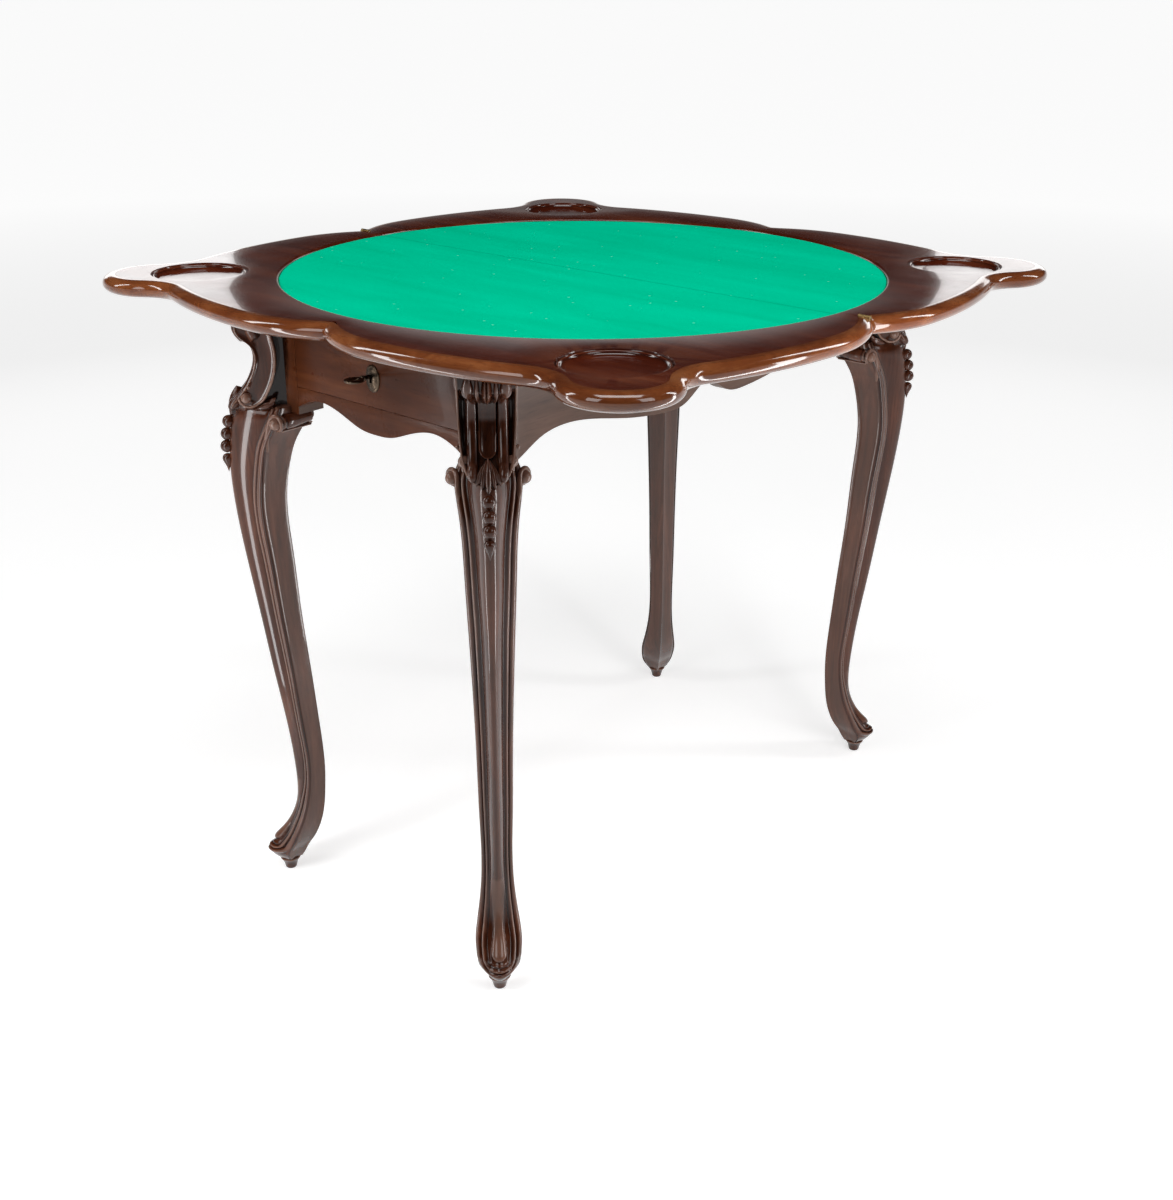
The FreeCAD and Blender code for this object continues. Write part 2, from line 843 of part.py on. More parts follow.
def bearer_ends(side):
    """The dovetail-like housings of the bearers in a long frieze."""
    seats = []
    for x, width in ((swivel_bearer_x, swivel_bearer_width), (cross_bearer_x, cross_bearer_width)):
        near, far = sorted((side * frieze_inner_y, side * (frieze_inner_y + bearer_tenon)))
        seats.append(box((x - width / 2, near, bearer_bottom), (x + width / 2, far, frame_top)))
    return seats


def end_board(shares, rise, top):
    """A short frieze on the +X end, from its lower edge up to a height."""
    face = scalloped(post_face_y, shares, rise, top)
    board = face.extrude(V(0, frieze_thickness, 0))
    board.translate(V(0, frieze_inner_x, 0))
    return board


def far_end_frieze():
    board = fused([end_board(short_edge_shares, short_rise, frame_top)] + tenons(post_face_y, frieze_inner_x))
    board.rotate(V(0, 0, 0), UP, -90)
    return board


def drawer_apron():
    """The shaped rail under the drawer."""
    board = end_board(short_edge_shares, short_rise, drawer_foot - drawer_gap)
    board.rotate(V(0, 0, 0), UP, 90)
    return fused([board] + apron_tenons())


def apron_tenons():
    middle = -half_length + frieze_thickness / 2
    half = tenon_thickness / 2
    high = drawer_foot - drawer_gap - tenon_thickness
    tenons = []
    for side in (-1, 1):
        near, far = sorted((side * post_face_y, side * (post_face_y + tenon_length)))
        tenons.append(box((middle - half, near, high - apron_tenon_height), (middle + half, far, high)))
    return tenons


def rail_laps(low_x, high_x):
    """The thin ends of a top rail, let into the tops of the posts."""
    laps = []
    for side in (-1, 1):
        near, far = sorted((side * post_face_y, side * (post_face_y + tenon_length)))
        laps.append(box((low_x, near, frame_top - lap_thickness), (high_x, far, frame_top)))
    return laps


def front_rail_laps():
    return rail_laps(-half_length + lap_shoulder, bolt_middle_x() - bolt_room())


def inner_rail_laps():
    return rail_laps(bolt_middle_x() + bolt_room(), -post_face_x - lap_shoulder)


def top_rail(low_x, high_x, laps):
    low = drawer_foot + drawer_height + drawer_gap
    rail = box((low_x, -post_face_y, low), (high_x, post_face_y, frame_top))
    return fused([rail] + laps).cut(strike_plate(False))


def drawer_top_rail():
    """The flat rail over the drawer; the lock's bolt rises just behind it."""
    return top_rail(-half_length, bolt_middle_x() - bolt_room(), front_rail_laps())


def drawer_inner_rail():
    """The plain rail behind the bolt, which keeps it from being forced back."""
    return top_rail(bolt_middle_x() + bolt_room(), -half_length + top_rail_depth, inner_rail_laps())


def strike_plate(with_slot=True):
    """A thin brass plate let into the undersides of both rails, slotted for the bolt."""
    low = drawer_foot + drawer_height + drawer_gap
    middle = bolt_middle_x()
    half_x = bolt_thickness / 2 + strike_margin / 2
    half_y = bolt_width / 2 + strike_margin
    plate = box((middle - half_x, -half_y, low), (middle + half_x, half_y, low + strike_thickness))
    return plate.cut(bolt_box(bolt_rise + strike_thickness)) if with_slot else plate


def glue_blocks():
    """A three-cornered block in each inner corner, behind the posts."""
    low = frame_top - block_height
    block = prism([(post_face_x, frieze_inner_y, low), (post_face_x - block_reach, frieze_inner_y, low),
                   (post_face_x, frieze_inner_y - block_reach, low)], V(0, 0, block_height - moving_gap))
    return Part.makeCompound(list(four_corners(block).values()))


def bearer(x, width):
    reach = frieze_inner_y + bearer_tenon
    return box((x - width / 2, -reach, bearer_bottom), (x + width / 2, reach, frame_top))


def swivel_bearer():
    return bearer(swivel_bearer_x, swivel_bearer_width).cut([
        rod(bush_radius, bearer_thickness, frame_pivot(bearer_bottom)),
        rod(counterbore_radius, bearer_thickness - bush_length, frame_pivot(bearer_bottom)),
    ])


# Drawer
def runner_top():
    return drawer_foot + drawer_side_lift - moving_gap


def drawer_runner(side):
    """The ledge that a drawer side slides on."""
    inner = post_face_y - runner_bearing
    near, far = sorted((side * inner, side * frieze_inner_y))
    body = box((-frieze_inner_x, near, runner_top() - runner_thickness),
               (-frieze_inner_x + drawer_length, far, runner_top()))
    post = box((-half_length, side * post_face_y if side > 0 else -half_width, post_foot),
               (-post_face_x, half_width if side > 0 else side * post_face_y, frame_top))
    return body.cut(post)


def drawer_guide(side):
    """The strip on a runner that keeps the drawer square, behind the post."""
    near, far = sorted((side * post_face_y, side * frieze_inner_y))
    return box((-post_face_x, near, runner_top()),
               (-frieze_inner_x + drawer_length, far, runner_top() + guide_height))


def drawer_half():
    return post_face_y - drawer_gap


def side_low():
    return drawer_foot + drawer_side_lift


def side_high():
    return side_low() + drawer_side_height


def drawer_side(side):
    half = drawer_half()
    near, far = sorted((side * (half - drawer_side_thickness), side * half))
    body = box((-frieze_inner_x - drawer_lap, near, side_low()),
               (-half_length + drawer_length, far, side_high()))
    return body.cut(drawer_bottom())


def drawer_bottom():
    half = drawer_half() - drawer_side_thickness + groove_depth
    low = side_low() + drawer_bottom_lift
    return box((-frieze_inner_x - groove_depth, -half, low),
               (-half_length + drawer_length, half, low + drawer_bottom_thickness))


def drawer_back():
    half = drawer_half() - drawer_side_thickness
    low = side_low() + drawer_bottom_lift + drawer_bottom_thickness
    end = -half_length + drawer_length
    return box((end - drawer_side_thickness, -half, low), (end, half, side_high()))


def drawer_front():
    half = drawer_half()
    body = box((-half_length, -half, drawer_foot), (-frieze_inner_x, half, drawer_foot + drawer_height))
    seats = [drawer_side(1), drawer_side(-1), drawer_bottom(), lock_block(), keyhole()]
    return body.cut(seats + lock_screws())


# Lock
def lock_front_x():
    return -frieze_inner_x - lock_depth + lock_wall


def lock_top():
    return drawer_foot + drawer_height


def lock_block():
    """The outside of the lock case."""
    front = lock_front_x()
    return box((front, -lock_width / 2, lock_top() - lock_height),
               (-frieze_inner_x, lock_width / 2, lock_top()))


def bolt_middle_x():
    return lock_front_x() + lock_depth / 2


def bolt_room():
    return bolt_thickness / 2 + moving_gap


def bolt_box(rise):
    """The bolt, or with rise the room that it moves through."""
    margin = moving_gap if rise else 0.0
    low = lock_top() - bolt_inset - bolt_length
    return box((bolt_middle_x() - bolt_thickness / 2 - margin, -bolt_width / 2 - margin, low - margin),
               (bolt_middle_x() + bolt_thickness / 2 + margin, bolt_width / 2 + margin,
                lock_top() - bolt_inset + rise))


def lock_case():
    """A box let into the back of the drawer front, open towards its cap."""
    low = lock_top() - lock_height
    half = lock_width / 2 - lock_wall
    room = box((lock_front_x() + lock_wall, -half, low + lock_wall),
               (-frieze_inner_x, half, lock_top() - lock_wall))
    return lock_block().cut([room, bolt_box(bolt_rise), keyhole()])


def lock_cap():
    """The plate that closes the case and holds it to the drawer front."""
    half = lock_width / 2 + lock_flange
    plate = box((-frieze_inner_x, -half, lock_top() - lock_height),
                (-frieze_inner_x + lock_wall, half, lock_top()))
    return plate.cut(lock_screws())


def lock_screws():
    """Four countersunk screws through the cap's ends."""
    screws = []
    length = frieze_thickness * lock_screw_share
    for side in (-1, 1):
        for share in (lock_screw_inset, 1 - lock_screw_inset):
            place = V(-frieze_inner_x + lock_wall, side * (lock_width + lock_flange) / 2,
                      lock_top() - lock_height * share)
            head = Part.makeCone(screw_head_radius, screw_shank_radius, screw_head_depth, place, -ALONG_X)
            shank = rod(screw_shank_radius, length, place, -ALONG_X)
            screws.append(head.fuse(shank).removeSplitter())
    return screws


def lock_bolt():
    return bolt_box(0.0)


def keyhole():
    """A round hole over a slot, through the front and the case's first wall."""
    start = -half_length - escutcheon_rise - overrun
    length = lock_front_x() + lock_wall - start
    hole = rod(keyhole_radius, length, V(start, 0, key_height), ALONG_X)
    slot = box((start, -keyhole_slot_width / 2, key_height - keyhole_slot_drop),
               (start + length, keyhole_slot_width / 2, key_height))
    return hole.fuse(slot)


def escutcheon():
    """A domed oval plate round the keyhole."""
    centre = V(-half_length, 0, key_height - escutcheon_drop)
    wires = []
    for rise_share, share in escutcheon_dome_shares:
        rise = rise_share * escutcheon_rise
        major = escutcheon_height / 2 * share
        minor = escutcheon_width / 2 * share
        ellipse = Part.Ellipse(V(0, 0, 0), major, minor)
        edge = ellipse.toShape()
        edge.rotate(V(0, 0, 0), ALONG_Y, -90)
        edge.translate(centre - V(rise, 0, 0))
        wires.append(Part.Wire([edge]))
    return Part.makeLoft(wires, True, True).cut(keyhole())


def oval(length, width, centre):
    """A level oval face, its length along X."""
    return Part.Face(Part.Wire([Part.Ellipse(centre, length / 2, width / 2).toShape()]))


def key():
    """The key as left in the lock: its flat bow and its bit lie level."""
    tip = -frieze_inner_x - moving_gap
    bow_face = -half_length - escutcheon_rise - shank_length
    shank = rod(shank_radius, tip - bow_face, V(bow_face, 0, key_height), ALONG_X)
    collar = rod(shank_radius * 1.5, shank_radius, V(bow_face, 0, key_height), ALONG_X)
    middle = V(bow_face - bow_length / 2 + bow_thickness / 4, 0, key_height - bow_thickness / 2)
    ring = oval(bow_length, bow_width, middle).extrude(V(0, 0, bow_thickness))
    ring = ring.cut(oval(bow_slot_length, bow_slot_width, middle).extrude(V(0, 0, bow_thickness)))
    bit_start = lock_front_x() + lock_wall + moving_gap
    bit = box((bit_start, 0, key_height - bit_thickness / 2),
              (bit_start + bit_depth, bit_reach, key_height + bit_thickness / 2))
    return fused([shank, collar, ring, bit])


# Everything, by node name
def frame_pieces():
    """The frame, placed round its own centre."""
    parts = {}
    for corner, shape in legs().items():
        parts[corner + "_leg"] = shape
    for corner, shape in four_corners(console()).items():
        parts[corner + "_console"] = shape
    parts["front_frieze"] = long_frieze(-1)
    parts["back_frieze"] = long_frieze(1)
    parts["far_end_frieze"] = far_end_frieze()
    parts["drawer_apron"] = drawer_apron()
    parts["drawer_top_rail"] = drawer_top_rail()
    parts["drawer_inner_rail"] = drawer_inner_rail()
    parts["swivel_bearer"] = swivel_bearer()
    parts["cross_bearer"] = bearer(cross_bearer_x, cross_bearer_width)
    parts["glue_blocks"] = glue_blocks()
    parts["pivot_bush"] = pivot_bush()
    parts["strike_plate"] = strike_plate()
    for name, side in (("front", -1), ("back", 1)):
        parts[name + "_drawer_runner"] = drawer_runner(side)
        parts[name + "_drawer_guide"] = drawer_guide(side)
    return parts


def top_pieces():
    parts = {}
    panel = panel_plate()
    edging = nosed_plate().cut(panel)
    for name, side in (("lower", -1), ("upper", 1)):
        pockets = [cloth_pocket()] + [well_pocket(side * well_place, end * well_place) for end in (-1, 1)]
        parts[name + "_leaf_panel"] = leaf_panel(side, panel, pockets)
        parts[name + "_leaf_moulding"] = leaf_moulding(side, edging)
        parts[name + "_leaf_cloth"] = cloth_half(side)
        screws = []
        for end_name, end in (("front", -1), ("back", 1)):
            parts[end_name + "_hinge_" + name + "_plate"] = hinge_plate(side, end)
            screws += [hinge_screw(place, side) for place in hinge_screw_places(side, end)]
        parts[name + "_hinge_screws"] = Part.makeCompound(screws)
    parts["front_hinge_pin"] = hinge_pin(-1)
    parts["back_hinge_pin"] = hinge_pin(1)
    parts["leaf_tongues"] = leaf_tongues()
    parts["pivot_stud"] = pivot_stud()
    parts["pivot_screws"] = Part.makeCompound([flange_screw(place) for place in flange_screw_places()])
    parts["pivot_washer"] = pivot_washer()
    parts["pivot_nut"] = pivot_nut()
    parts["stop_peg"] = stop_peg()
    return parts


def drawer_pieces():
    """The drawer with its lock and key, placed round the frame's centre."""
    parts = {}
    parts["drawer_front"] = drawer_front()
    parts["drawer_front_side"] = drawer_side(-1)
    parts["drawer_back_side"] = drawer_side(1)
    parts["drawer_end"] = drawer_back()
    parts["drawer_bottom"] = drawer_bottom()
    parts["lock_case"] = lock_case()
    parts["lock_cap"] = lock_cap()
    parts["lock_screws"] = Part.makeCompound(lock_screws())
    parts["lock_bolt"] = lock_bolt()
    parts["escutcheon"] = escutcheon()
    parts["key"] = key()
    return parts


def pieces():
    parts = {**frame_pieces(), **drawer_pieces()}
    for shape in parts.values():
        shape.translate(frame_offset)
    return {**parts, **top_pieces()}


os.makedirs("parts", exist_ok=True)
for name, shape in pieces().items():
    shape.exportStep("parts/" + name + ".step")
    print(name, len(shape.Solids), "solid, valid", shape.isValid(), "volume", round(shape.Volume))
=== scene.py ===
import bpy
import bmesh
import json
import math
from mathutils import Matrix, Vector
from mathutils.geometry import delaunay_2d_cdt


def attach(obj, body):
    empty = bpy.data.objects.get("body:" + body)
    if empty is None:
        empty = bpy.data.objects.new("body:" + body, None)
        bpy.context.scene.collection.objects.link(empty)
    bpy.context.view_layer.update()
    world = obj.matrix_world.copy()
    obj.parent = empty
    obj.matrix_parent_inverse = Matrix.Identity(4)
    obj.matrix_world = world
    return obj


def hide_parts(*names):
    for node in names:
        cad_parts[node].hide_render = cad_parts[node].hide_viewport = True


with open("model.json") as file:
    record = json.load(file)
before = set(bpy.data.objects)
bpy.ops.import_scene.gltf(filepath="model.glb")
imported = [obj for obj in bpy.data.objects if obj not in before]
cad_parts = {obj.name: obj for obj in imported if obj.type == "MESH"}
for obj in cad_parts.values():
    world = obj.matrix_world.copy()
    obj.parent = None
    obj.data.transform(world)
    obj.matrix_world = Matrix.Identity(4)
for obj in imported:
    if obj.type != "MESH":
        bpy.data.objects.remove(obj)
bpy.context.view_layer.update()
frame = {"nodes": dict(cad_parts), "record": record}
print("frame loaded", len(frame["nodes"]), "nodes")

# Shapes are worked out in millimetres and written into the meshes in metres.
toMetres = 0.001
weldDistance = 0.00001
cutTolerance = 1e-7
diagonal = math.sqrt(0.5)

table = {
    "frameCentre": (10.0, -11.0), "footCorner": (387.0, 193.0),
    "topHeight": 760.0, "leafFoot": 740.0, "frameTop": 739.7, "seam": 0.15,
}

# each corner's signs along x and y, and how its CAD nodes' names begin
corners = {"frontLeft": (-1, -1), "frontRight": (1, -1), "backLeft": (-1, 1), "backRight": (1, 1)}
cornerNodes = {
    "frontLeft": "front_left", "frontRight": "front_right", "backLeft": "back_left", "backRight": "back_right",
}


# Finishes are all made of nodes.
def addNode(tree, kind, **settings):
    node = tree.nodes.new(kind)
    for name, value in settings.items():
        setattr(node, name, value)
    return node


def setInputs(node, values):
    for name, value in values.items():
        node.inputs[name].default_value = value


def rampStops(node, stops):
    ramp = node.color_ramp
    while len(ramp.elements) > len(stops):
        ramp.elements.remove(ramp.elements[-1])
    while len(ramp.elements) < len(stops):
        ramp.elements.new(1.0)
    for element, (place, colour) in zip(ramp.elements, stops):
        element.position = place
        element.color = (*colour, 1.0)


def newFinish(name):
    finish = bpy.data.materials.new(name)
    finish.use_nodes = True
    tree = finish.node_tree
    shader = tree.nodes["Principled BSDF"]
    place = addNode(tree, "ShaderNodeTexCoord")
    return finish, tree, shader, place.outputs["Object"]


def stretched(tree, source, scale):
    mapping = addNode(tree, "ShaderNodeMapping")
    setInputs(mapping, {"Scale": scale})
    tree.links.new(source, mapping.inputs["Vector"])
    return mapping.outputs["Vector"]


def noiseAt(tree, vector, scale, detail, roughness, distortion=0.0):
    noise = addNode(tree, "ShaderNodeTexNoise")
    setInputs(noise, {"Scale": scale, "Detail": detail, "Roughness": roughness, "Distortion": distortion})
    tree.links.new(vector, noise.inputs["Vector"])
    return noise.outputs["Fac"]


def ranged(tree, value, low, high, fromLow=0.3, fromHigh=0.7):
    # the usual span is where most of a noise lies
    mapped = addNode(tree, "ShaderNodeMapRange")
    setInputs(mapped, {"From Min": fromLow, "From Max": fromHigh, "To Min": low, "To Max": high})
    tree.links.new(value, mapped.inputs["Value"])
    return mapped.outputs["Result"]


def mixedColour(tree, factor, first, second):
    mix = addNode(tree, "ShaderNodeMix", data_type="RGBA")
    tree.links.new(factor, mix.inputs[0])
    for socket, colour in ((mix.inputs[6], first), (mix.inputs[7], second)):
        if isinstance(colour, tuple):
            socket.default_value = (*colour, 1.0)
        else:
            tree.links.new(colour, socket)
    return mix.outputs[2]


def paintedShadingInput(tree):
    # painted shading, from each piece's own attribute: below 0 painted shade in hollows, above 0 painted
    # highlight on crests
    return addNode(tree, "ShaderNodeAttribute", attribute_name="paintedShading").outputs["Fac"]


def roughened(tree, shader, height, strength, depth):
    bump = addNode(tree, "ShaderNodeBump")
    setInputs(bump, {"Strength": strength, "Distance": depth})
    tree.links.new(height, bump.inputs["Height"])
    tree.links.new(bump.outputs["Normal"], shader.inputs["Normal"])


# Figured hardwood under a polish: grain streaks and pores, with painted shade in the carved hollows and painted
# highlight on the crests
# each wood's darkest colour also darkens its pores and paints shade into carved hollows; its pale crest colour
# is painted highlight
woods = {
    "carvedMahogany": {
        "colours": ((0.026, 0.007, 0.003), (0.076, 0.020, 0.008), (0.155, 0.050, 0.025)),
        "grainScale": (60.0, 60.0, 5.0), "roughness": (0.15, 0.24), "sheen": 0.13, "coat": 0.55,
        "bump": 0.06, "hollow": (0.005, 0.002, 0.0015), "paintedHighlight": (0.42, 0.250, 0.185),
    },
    "friezeMahogany": {
        "colours": ((0.060, 0.030, 0.019), (0.108, 0.056, 0.037), (0.165, 0.086, 0.060)),
        "grainScale": (5.0, 34.0, 60.0), "roughness": (0.28, 0.42), "sheen": 0.22, "coat": 0.05,
        "bump": 0.05, "hollow": (0.012, 0.005, 0.004), "paintedHighlight": (0.2, 0.08, 0.045),
    },
    "endMahogany": {
        "colours": ((0.042, 0.011, 0.004), (0.084, 0.023, 0.008), (0.140, 0.044, 0.017)),
        "grainScale": (40.0, 5.0, 46.0), "roughness": (0.24, 0.36), "sheen": 0.10, "coat": 0.04,
        "bump": 0.05, "hollow": (0.008, 0.003, 0.002), "paintedHighlight": (0.2, 0.08, 0.045),
    },
    "topMahogany": {
        "colours": ((0.040, 0.005, 0.0015), (0.085, 0.013, 0.004), (0.150, 0.034, 0.012)),
        "grainScale": (34.0, 4.0, 30.0), "roughness": (0.13, 0.20), "sheen": 0.3, "coat": 0.4,
        "bump": 0.03, "hollow": (0.008, 0.002, 0.001), "paintedHighlight": (0.24, 0.085, 0.04),
    },
    "edgeMahogany": {
        "colours": ((0.090, 0.020, 0.006), (0.200, 0.058, 0.017), (0.330, 0.118, 0.040)),
        "grainScale": (16.0, 16.0, 60.0), "roughness": (0.10, 0.18), "sheen": 0.24, "coat": 0.8,
        "bump": 0.03, "hollow": (0.014, 0.004, 0.002), "paintedHighlight": (0.32, 0.15, 0.08),
    },
    "plainHardwood": {
        "colours": ((0.16, 0.085, 0.040), (0.25, 0.145, 0.075), (0.34, 0.21, 0.115)),
        "grainScale": (5.0, 50.0, 60.0), "roughness": (0.55, 0.75), "sheen": 0.3, "coat": 0.0,
        "bump": 0.12, "hollow": (0.08, 0.04, 0.02), "paintedHighlight": (0.4, 0.27, 0.16),
    },
}
# What all the woods share. A noise is its scale, detail, roughness and distortion.
grain = {
    "figure": (1.0, 7.0, 0.62, 0.6), "colourStops": (0.28, 0.5, 0.74),
    "clouds": (9.0, 3.0, 0.5), "cloudShare": 0.55,
    "poreStretch": (9.0, 9.0, 9.0), "pores": (1.0, 2.0, 0.5), "poreShare": 0.22, "poreSpan": (0.30, 0.42),
    # how strongly the painted shade in hollows and the painted highlight on crests go into the colour
    "paintedShadeShare": 0.85, "paintedHighlightShare": 0.5, "paintedHighlightSpan": (0.1, 1.0),
    "smears": (26.0, 5.0, 0.65), "coatRoughness": 0.05, "poreDepth": 0.0006,
}


def woodFinish(name):
    values = woods[name]
    finish, tree, shader, place = newFinish(name)
    along = stretched(tree, place, values["grainScale"])
    ramp = addNode(tree, "ShaderNodeValToRGB")
    rampStops(ramp, list(zip(grain["colourStops"], values["colours"])))
    tree.links.new(noiseAt(tree, along, *grain["figure"]), ramp.inputs["Fac"])
    clouds = ranged(tree, noiseAt(tree, place, *grain["clouds"]), 0.0, grain["cloudShare"])
    toned = mixedColour(tree, clouds, ramp.outputs["Color"], values["colours"][0])
    pores = noiseAt(tree, stretched(tree, along, grain["poreStretch"]), *grain["pores"])
    poreShade = ranged(tree, pores, grain["poreShare"], 0.0, *grain["poreSpan"])
    pored = mixedColour(tree, poreShade, toned, values["hollow"])
    # painted shade darkens the hollows and painted highlight pales the crests
    depth = paintedShadingInput(tree)
    paintedShade = ranged(tree, depth, grain["paintedShadeShare"], 0.0, -1.0, 0.0)
    raised = ranged(tree, depth, 0.0, grain["paintedHighlightShare"], *grain["paintedHighlightSpan"])
    paintedLight = mixedColour(tree, raised, mixedColour(tree, paintedShade, pored, values["hollow"]), values["paintedHighlight"])
    tree.links.new(paintedLight, shader.inputs["Base Color"])
    smears = noiseAt(tree, place, *grain["smears"])
    tree.links.new(ranged(tree, smears, *values["roughness"]), shader.inputs["Roughness"])
    setInputs(shader, {"Specular IOR Level": values["sheen"], "Coat Weight": values["coat"],
                       "Coat Roughness": grain["coatRoughness"]})
    roughened(tree, shader, pores, values["bump"], grain["poreDepth"])
    return finish


# Short-napped green cloth with paler lint specks and a line of painted shade along the fold
cloth = {
    "dark": (0.0, 0.440, 0.235), "light": (0.0, 0.570, 0.325), "lint": (0.16, 0.66, 0.46),
    "foldShade": (0.0, 0.30, 0.16), "roughness": 0.92,
    "broadStretch": (16.0, 3.0, 3.0), "broad": (1.0, 4.0, 0.55, 0.5),
    "fine": (900.0, 3.0, 0.7), "fineShare": 0.6,
    "foldShadeShare": 0.5, "foldShadeHalf": 0.0035, "lintScale": 42.0, "lintShare": 0.75, "lintSpan": (0.035, 0.075),
    "nap": 0.35, "napDepth": 0.0003,
}


def clothFinish():
    finish, tree, shader, place = newFinish("greenBaize")
    links = tree.links
    broad = noiseAt(tree, stretched(tree, place, cloth["broadStretch"]), *cloth["broad"])
    fine = noiseAt(tree, place, *cloth["fine"])
    base = mixedColour(tree, ranged(tree, broad, 0.0, 1.0), cloth["dark"], cloth["light"])
    napped = mixedColour(tree, ranged(tree, fine, 0.0, cloth["fineShare"]), base, cloth["dark"])
    # a line of painted shade along the fold
    axes = addNode(tree, "ShaderNodeSeparateXYZ")
    links.new(place, axes.inputs[0])
    away = addNode(tree, "ShaderNodeMath", operation="ABSOLUTE")
    links.new(axes.outputs["X"], away.inputs[0])
    nearFold = ranged(tree, away.outputs[0], cloth["foldShadeShare"], 0.0, 0.0, cloth["foldShadeHalf"])
    foldShaded = mixedColour(tree, nearFold, napped, cloth["foldShade"])
    specks = addNode(tree, "ShaderNodeTexVoronoi", feature="F1")
    setInputs(specks, {"Scale": cloth["lintScale"], "Randomness": 1.0})
    links.new(place, specks.inputs["Vector"])
    lint = ranged(tree, specks.outputs["Distance"], cloth["lintShare"], 0.0, *cloth["lintSpan"])
    links.new(mixedColour(tree, lint, foldShaded, cloth["lint"]), shader.inputs["Base Color"])
    setInputs(shader, {"Roughness": cloth["roughness"], "Specular IOR Level": 0.0})
    roughened(tree, shader, fine, cloth["nap"], cloth["napDepth"])
    return finish


metals = {
    "agedBrass": {"colours": ((0.16, 0.095, 0.035), (0.55, 0.38, 0.16)), "roughness": (0.3, 0.5)},
    "darkBronze": {"colours": ((0.012, 0.009, 0.007), (0.100, 0.072, 0.050)), "roughness": (0.22, 0.40)},
    "dullSteel": {"colours": ((0.16, 0.155, 0.15), (0.42, 0.42, 0.43)), "roughness": (0.32, 0.5)},
}
# what all the metals share
tarnish = {"stain": (160.0, 5.0, 0.65), "metalHighlightShare": 0.8, "metalHighlightSpan": (0.1, 1.0), "bump": 0.15, "depth": 0.0002}


def metalFinish(name):
    values = metals[name]
    finish, tree, shader, place = newFinish(name)
    stain = noiseAt(tree, place, *tarnish["stain"])
    dull, bright = values["colours"]
    base = mixedColour(tree, ranged(tree, stain, 0.0, 1.0), dull, bright)
    # raised parts turn to the bright colour as painted highlight
    paintedLight = ranged(tree, paintedShadingInput(tree), 0.0, tarnish["metalHighlightShare"], *tarnish["metalHighlightSpan"])
    tree.links.new(mixedColour(tree, paintedLight, base, bright), shader.inputs["Base Color"])
    low, high = values["roughness"]
    tree.links.new(ranged(tree, stain, high, low), shader.inputs["Roughness"])
    setInputs(shader, {"Metallic": 1.0})
    roughened(tree, shader, stain, tarnish["bump"], tarnish["depth"])
    return finish


finishes = {name: woodFinish(name) for name in woods}
finishes.update({name: metalFinish(name) for name in metals})
finishes["greenBaize"] = clothFinish()
print("finishes made", len(finishes))


# Points, rings and curves, and the meshes made of them
def cornerPoint(point, signs):
    # from the upright plane through a foot, s outwards, t across, to the table
    s, t, z = point
    x = table["footCorner"][0] + (s - t) * diagonal
    y = table["footCorner"][1] + (s + t) * diagonal
    return (signs[0] * x + table["frameCentre"][0], signs[1] * y + table["frameCentre"][1], z)


def inMetres(points):
    return [[c * toMetres for c in point] for point in points]


def circle(steps):
    return [(math.cos(math.tau * i / steps), math.sin(math.tau * i / steps)) for i in range(steps)]


def gridFaces(rows, columns, closed):
    faces = []
    for row in range(rows - 1):
        for column in range(columns if closed else columns - 1):
            after = (column + 1) % columns
            low = row * columns
            faces.append((low + column, low + after, low + columns + after, low + columns + column))
    return faces


# every point carries a painted shading value: painted shade below 0, painted highlight above 0
class Shape:
    def __init__(self):
        self.points = []
        self.faces = []
        self.paintedShading = []

    def add(self, points, faces, paintedShading=None):
        start = len(self.points)
        self.points += [tuple(point) for point in points]
        self.faces += [tuple(index + start for index in face) for face in faces]
        self.paintedShading += list(paintedShading) if paintedShading else [0.0] * len(points)

    def loft(self, rings, paintedShading=None, closed=True, caps=True):
        columns = len(rings[0])
        points = [point for ring in rings for point in ring]
        faces = gridFaces(len(rings), columns, closed)
        if caps:
            faces.append(tuple(reversed(range(columns))))
            last = (len(rings) - 1) * columns
            faces.append(tuple(range(last, last + columns)))
        flat = [value for row in paintedShading for value in row] if paintedShading else None
        self.add(points, faces, flat)

    def placed(self, move):
        moved = Shape()
        moved.add([move(point) for point in self.points], self.faces, self.paintedShading)
        return moved


def lathed(shape, profile, move, steps):
    # profile points are radius, way along and painted shading; the turned form's axis is z before the move
    rings = [[move((radius * c, radius * s, along)) for c, s in circle(steps)]
             for radius, along, shade in profile]
    shape.loft(rings, [[shade] * steps for radius, along, shade in profile])


def welded(mesh, distance=weldDistance, thinnest=0.0):
    # joins doubled points and turns the faces outwards
    work = bmesh.new()
    work.from_mesh(mesh)
    bmesh.ops.remove_doubles(work, verts=work.verts, dist=distance)
    if thinnest:
        bmesh.ops.dissolve_degenerate(work, edges=work.edges, dist=thinnest)
    bmesh.ops.recalc_face_normals(work, faces=work.faces)
    work.to_mesh(mesh)
    work.free()


def shaded(mesh, smoothAngle):
    mesh.shade_smooth()
    mesh.set_sharp_from_angle(angle=math.radians(smoothAngle))


def addObject(name, data):
    thing = bpy.data.objects.new(name, data)
    bpy.context.scene.collection.objects.link(thing)
    return thing


def meshObject(name, shape, finish, smoothAngle):
    mesh = bpy.data.meshes.new(name)
    mesh.from_pydata(inMetres(shape.points), [], shape.faces)
    # the painted shading is stored on the mesh for the finishes to read
    mesh.attributes.new("paintedShading", "FLOAT", "POINT").data.foreach_set("value", shape.paintedShading)
    welded(mesh, weldDistance, weldDistance / 10)
    mesh.materials.append(finish)
    shaded(mesh, smoothAngle)
    return addObject(name, mesh)


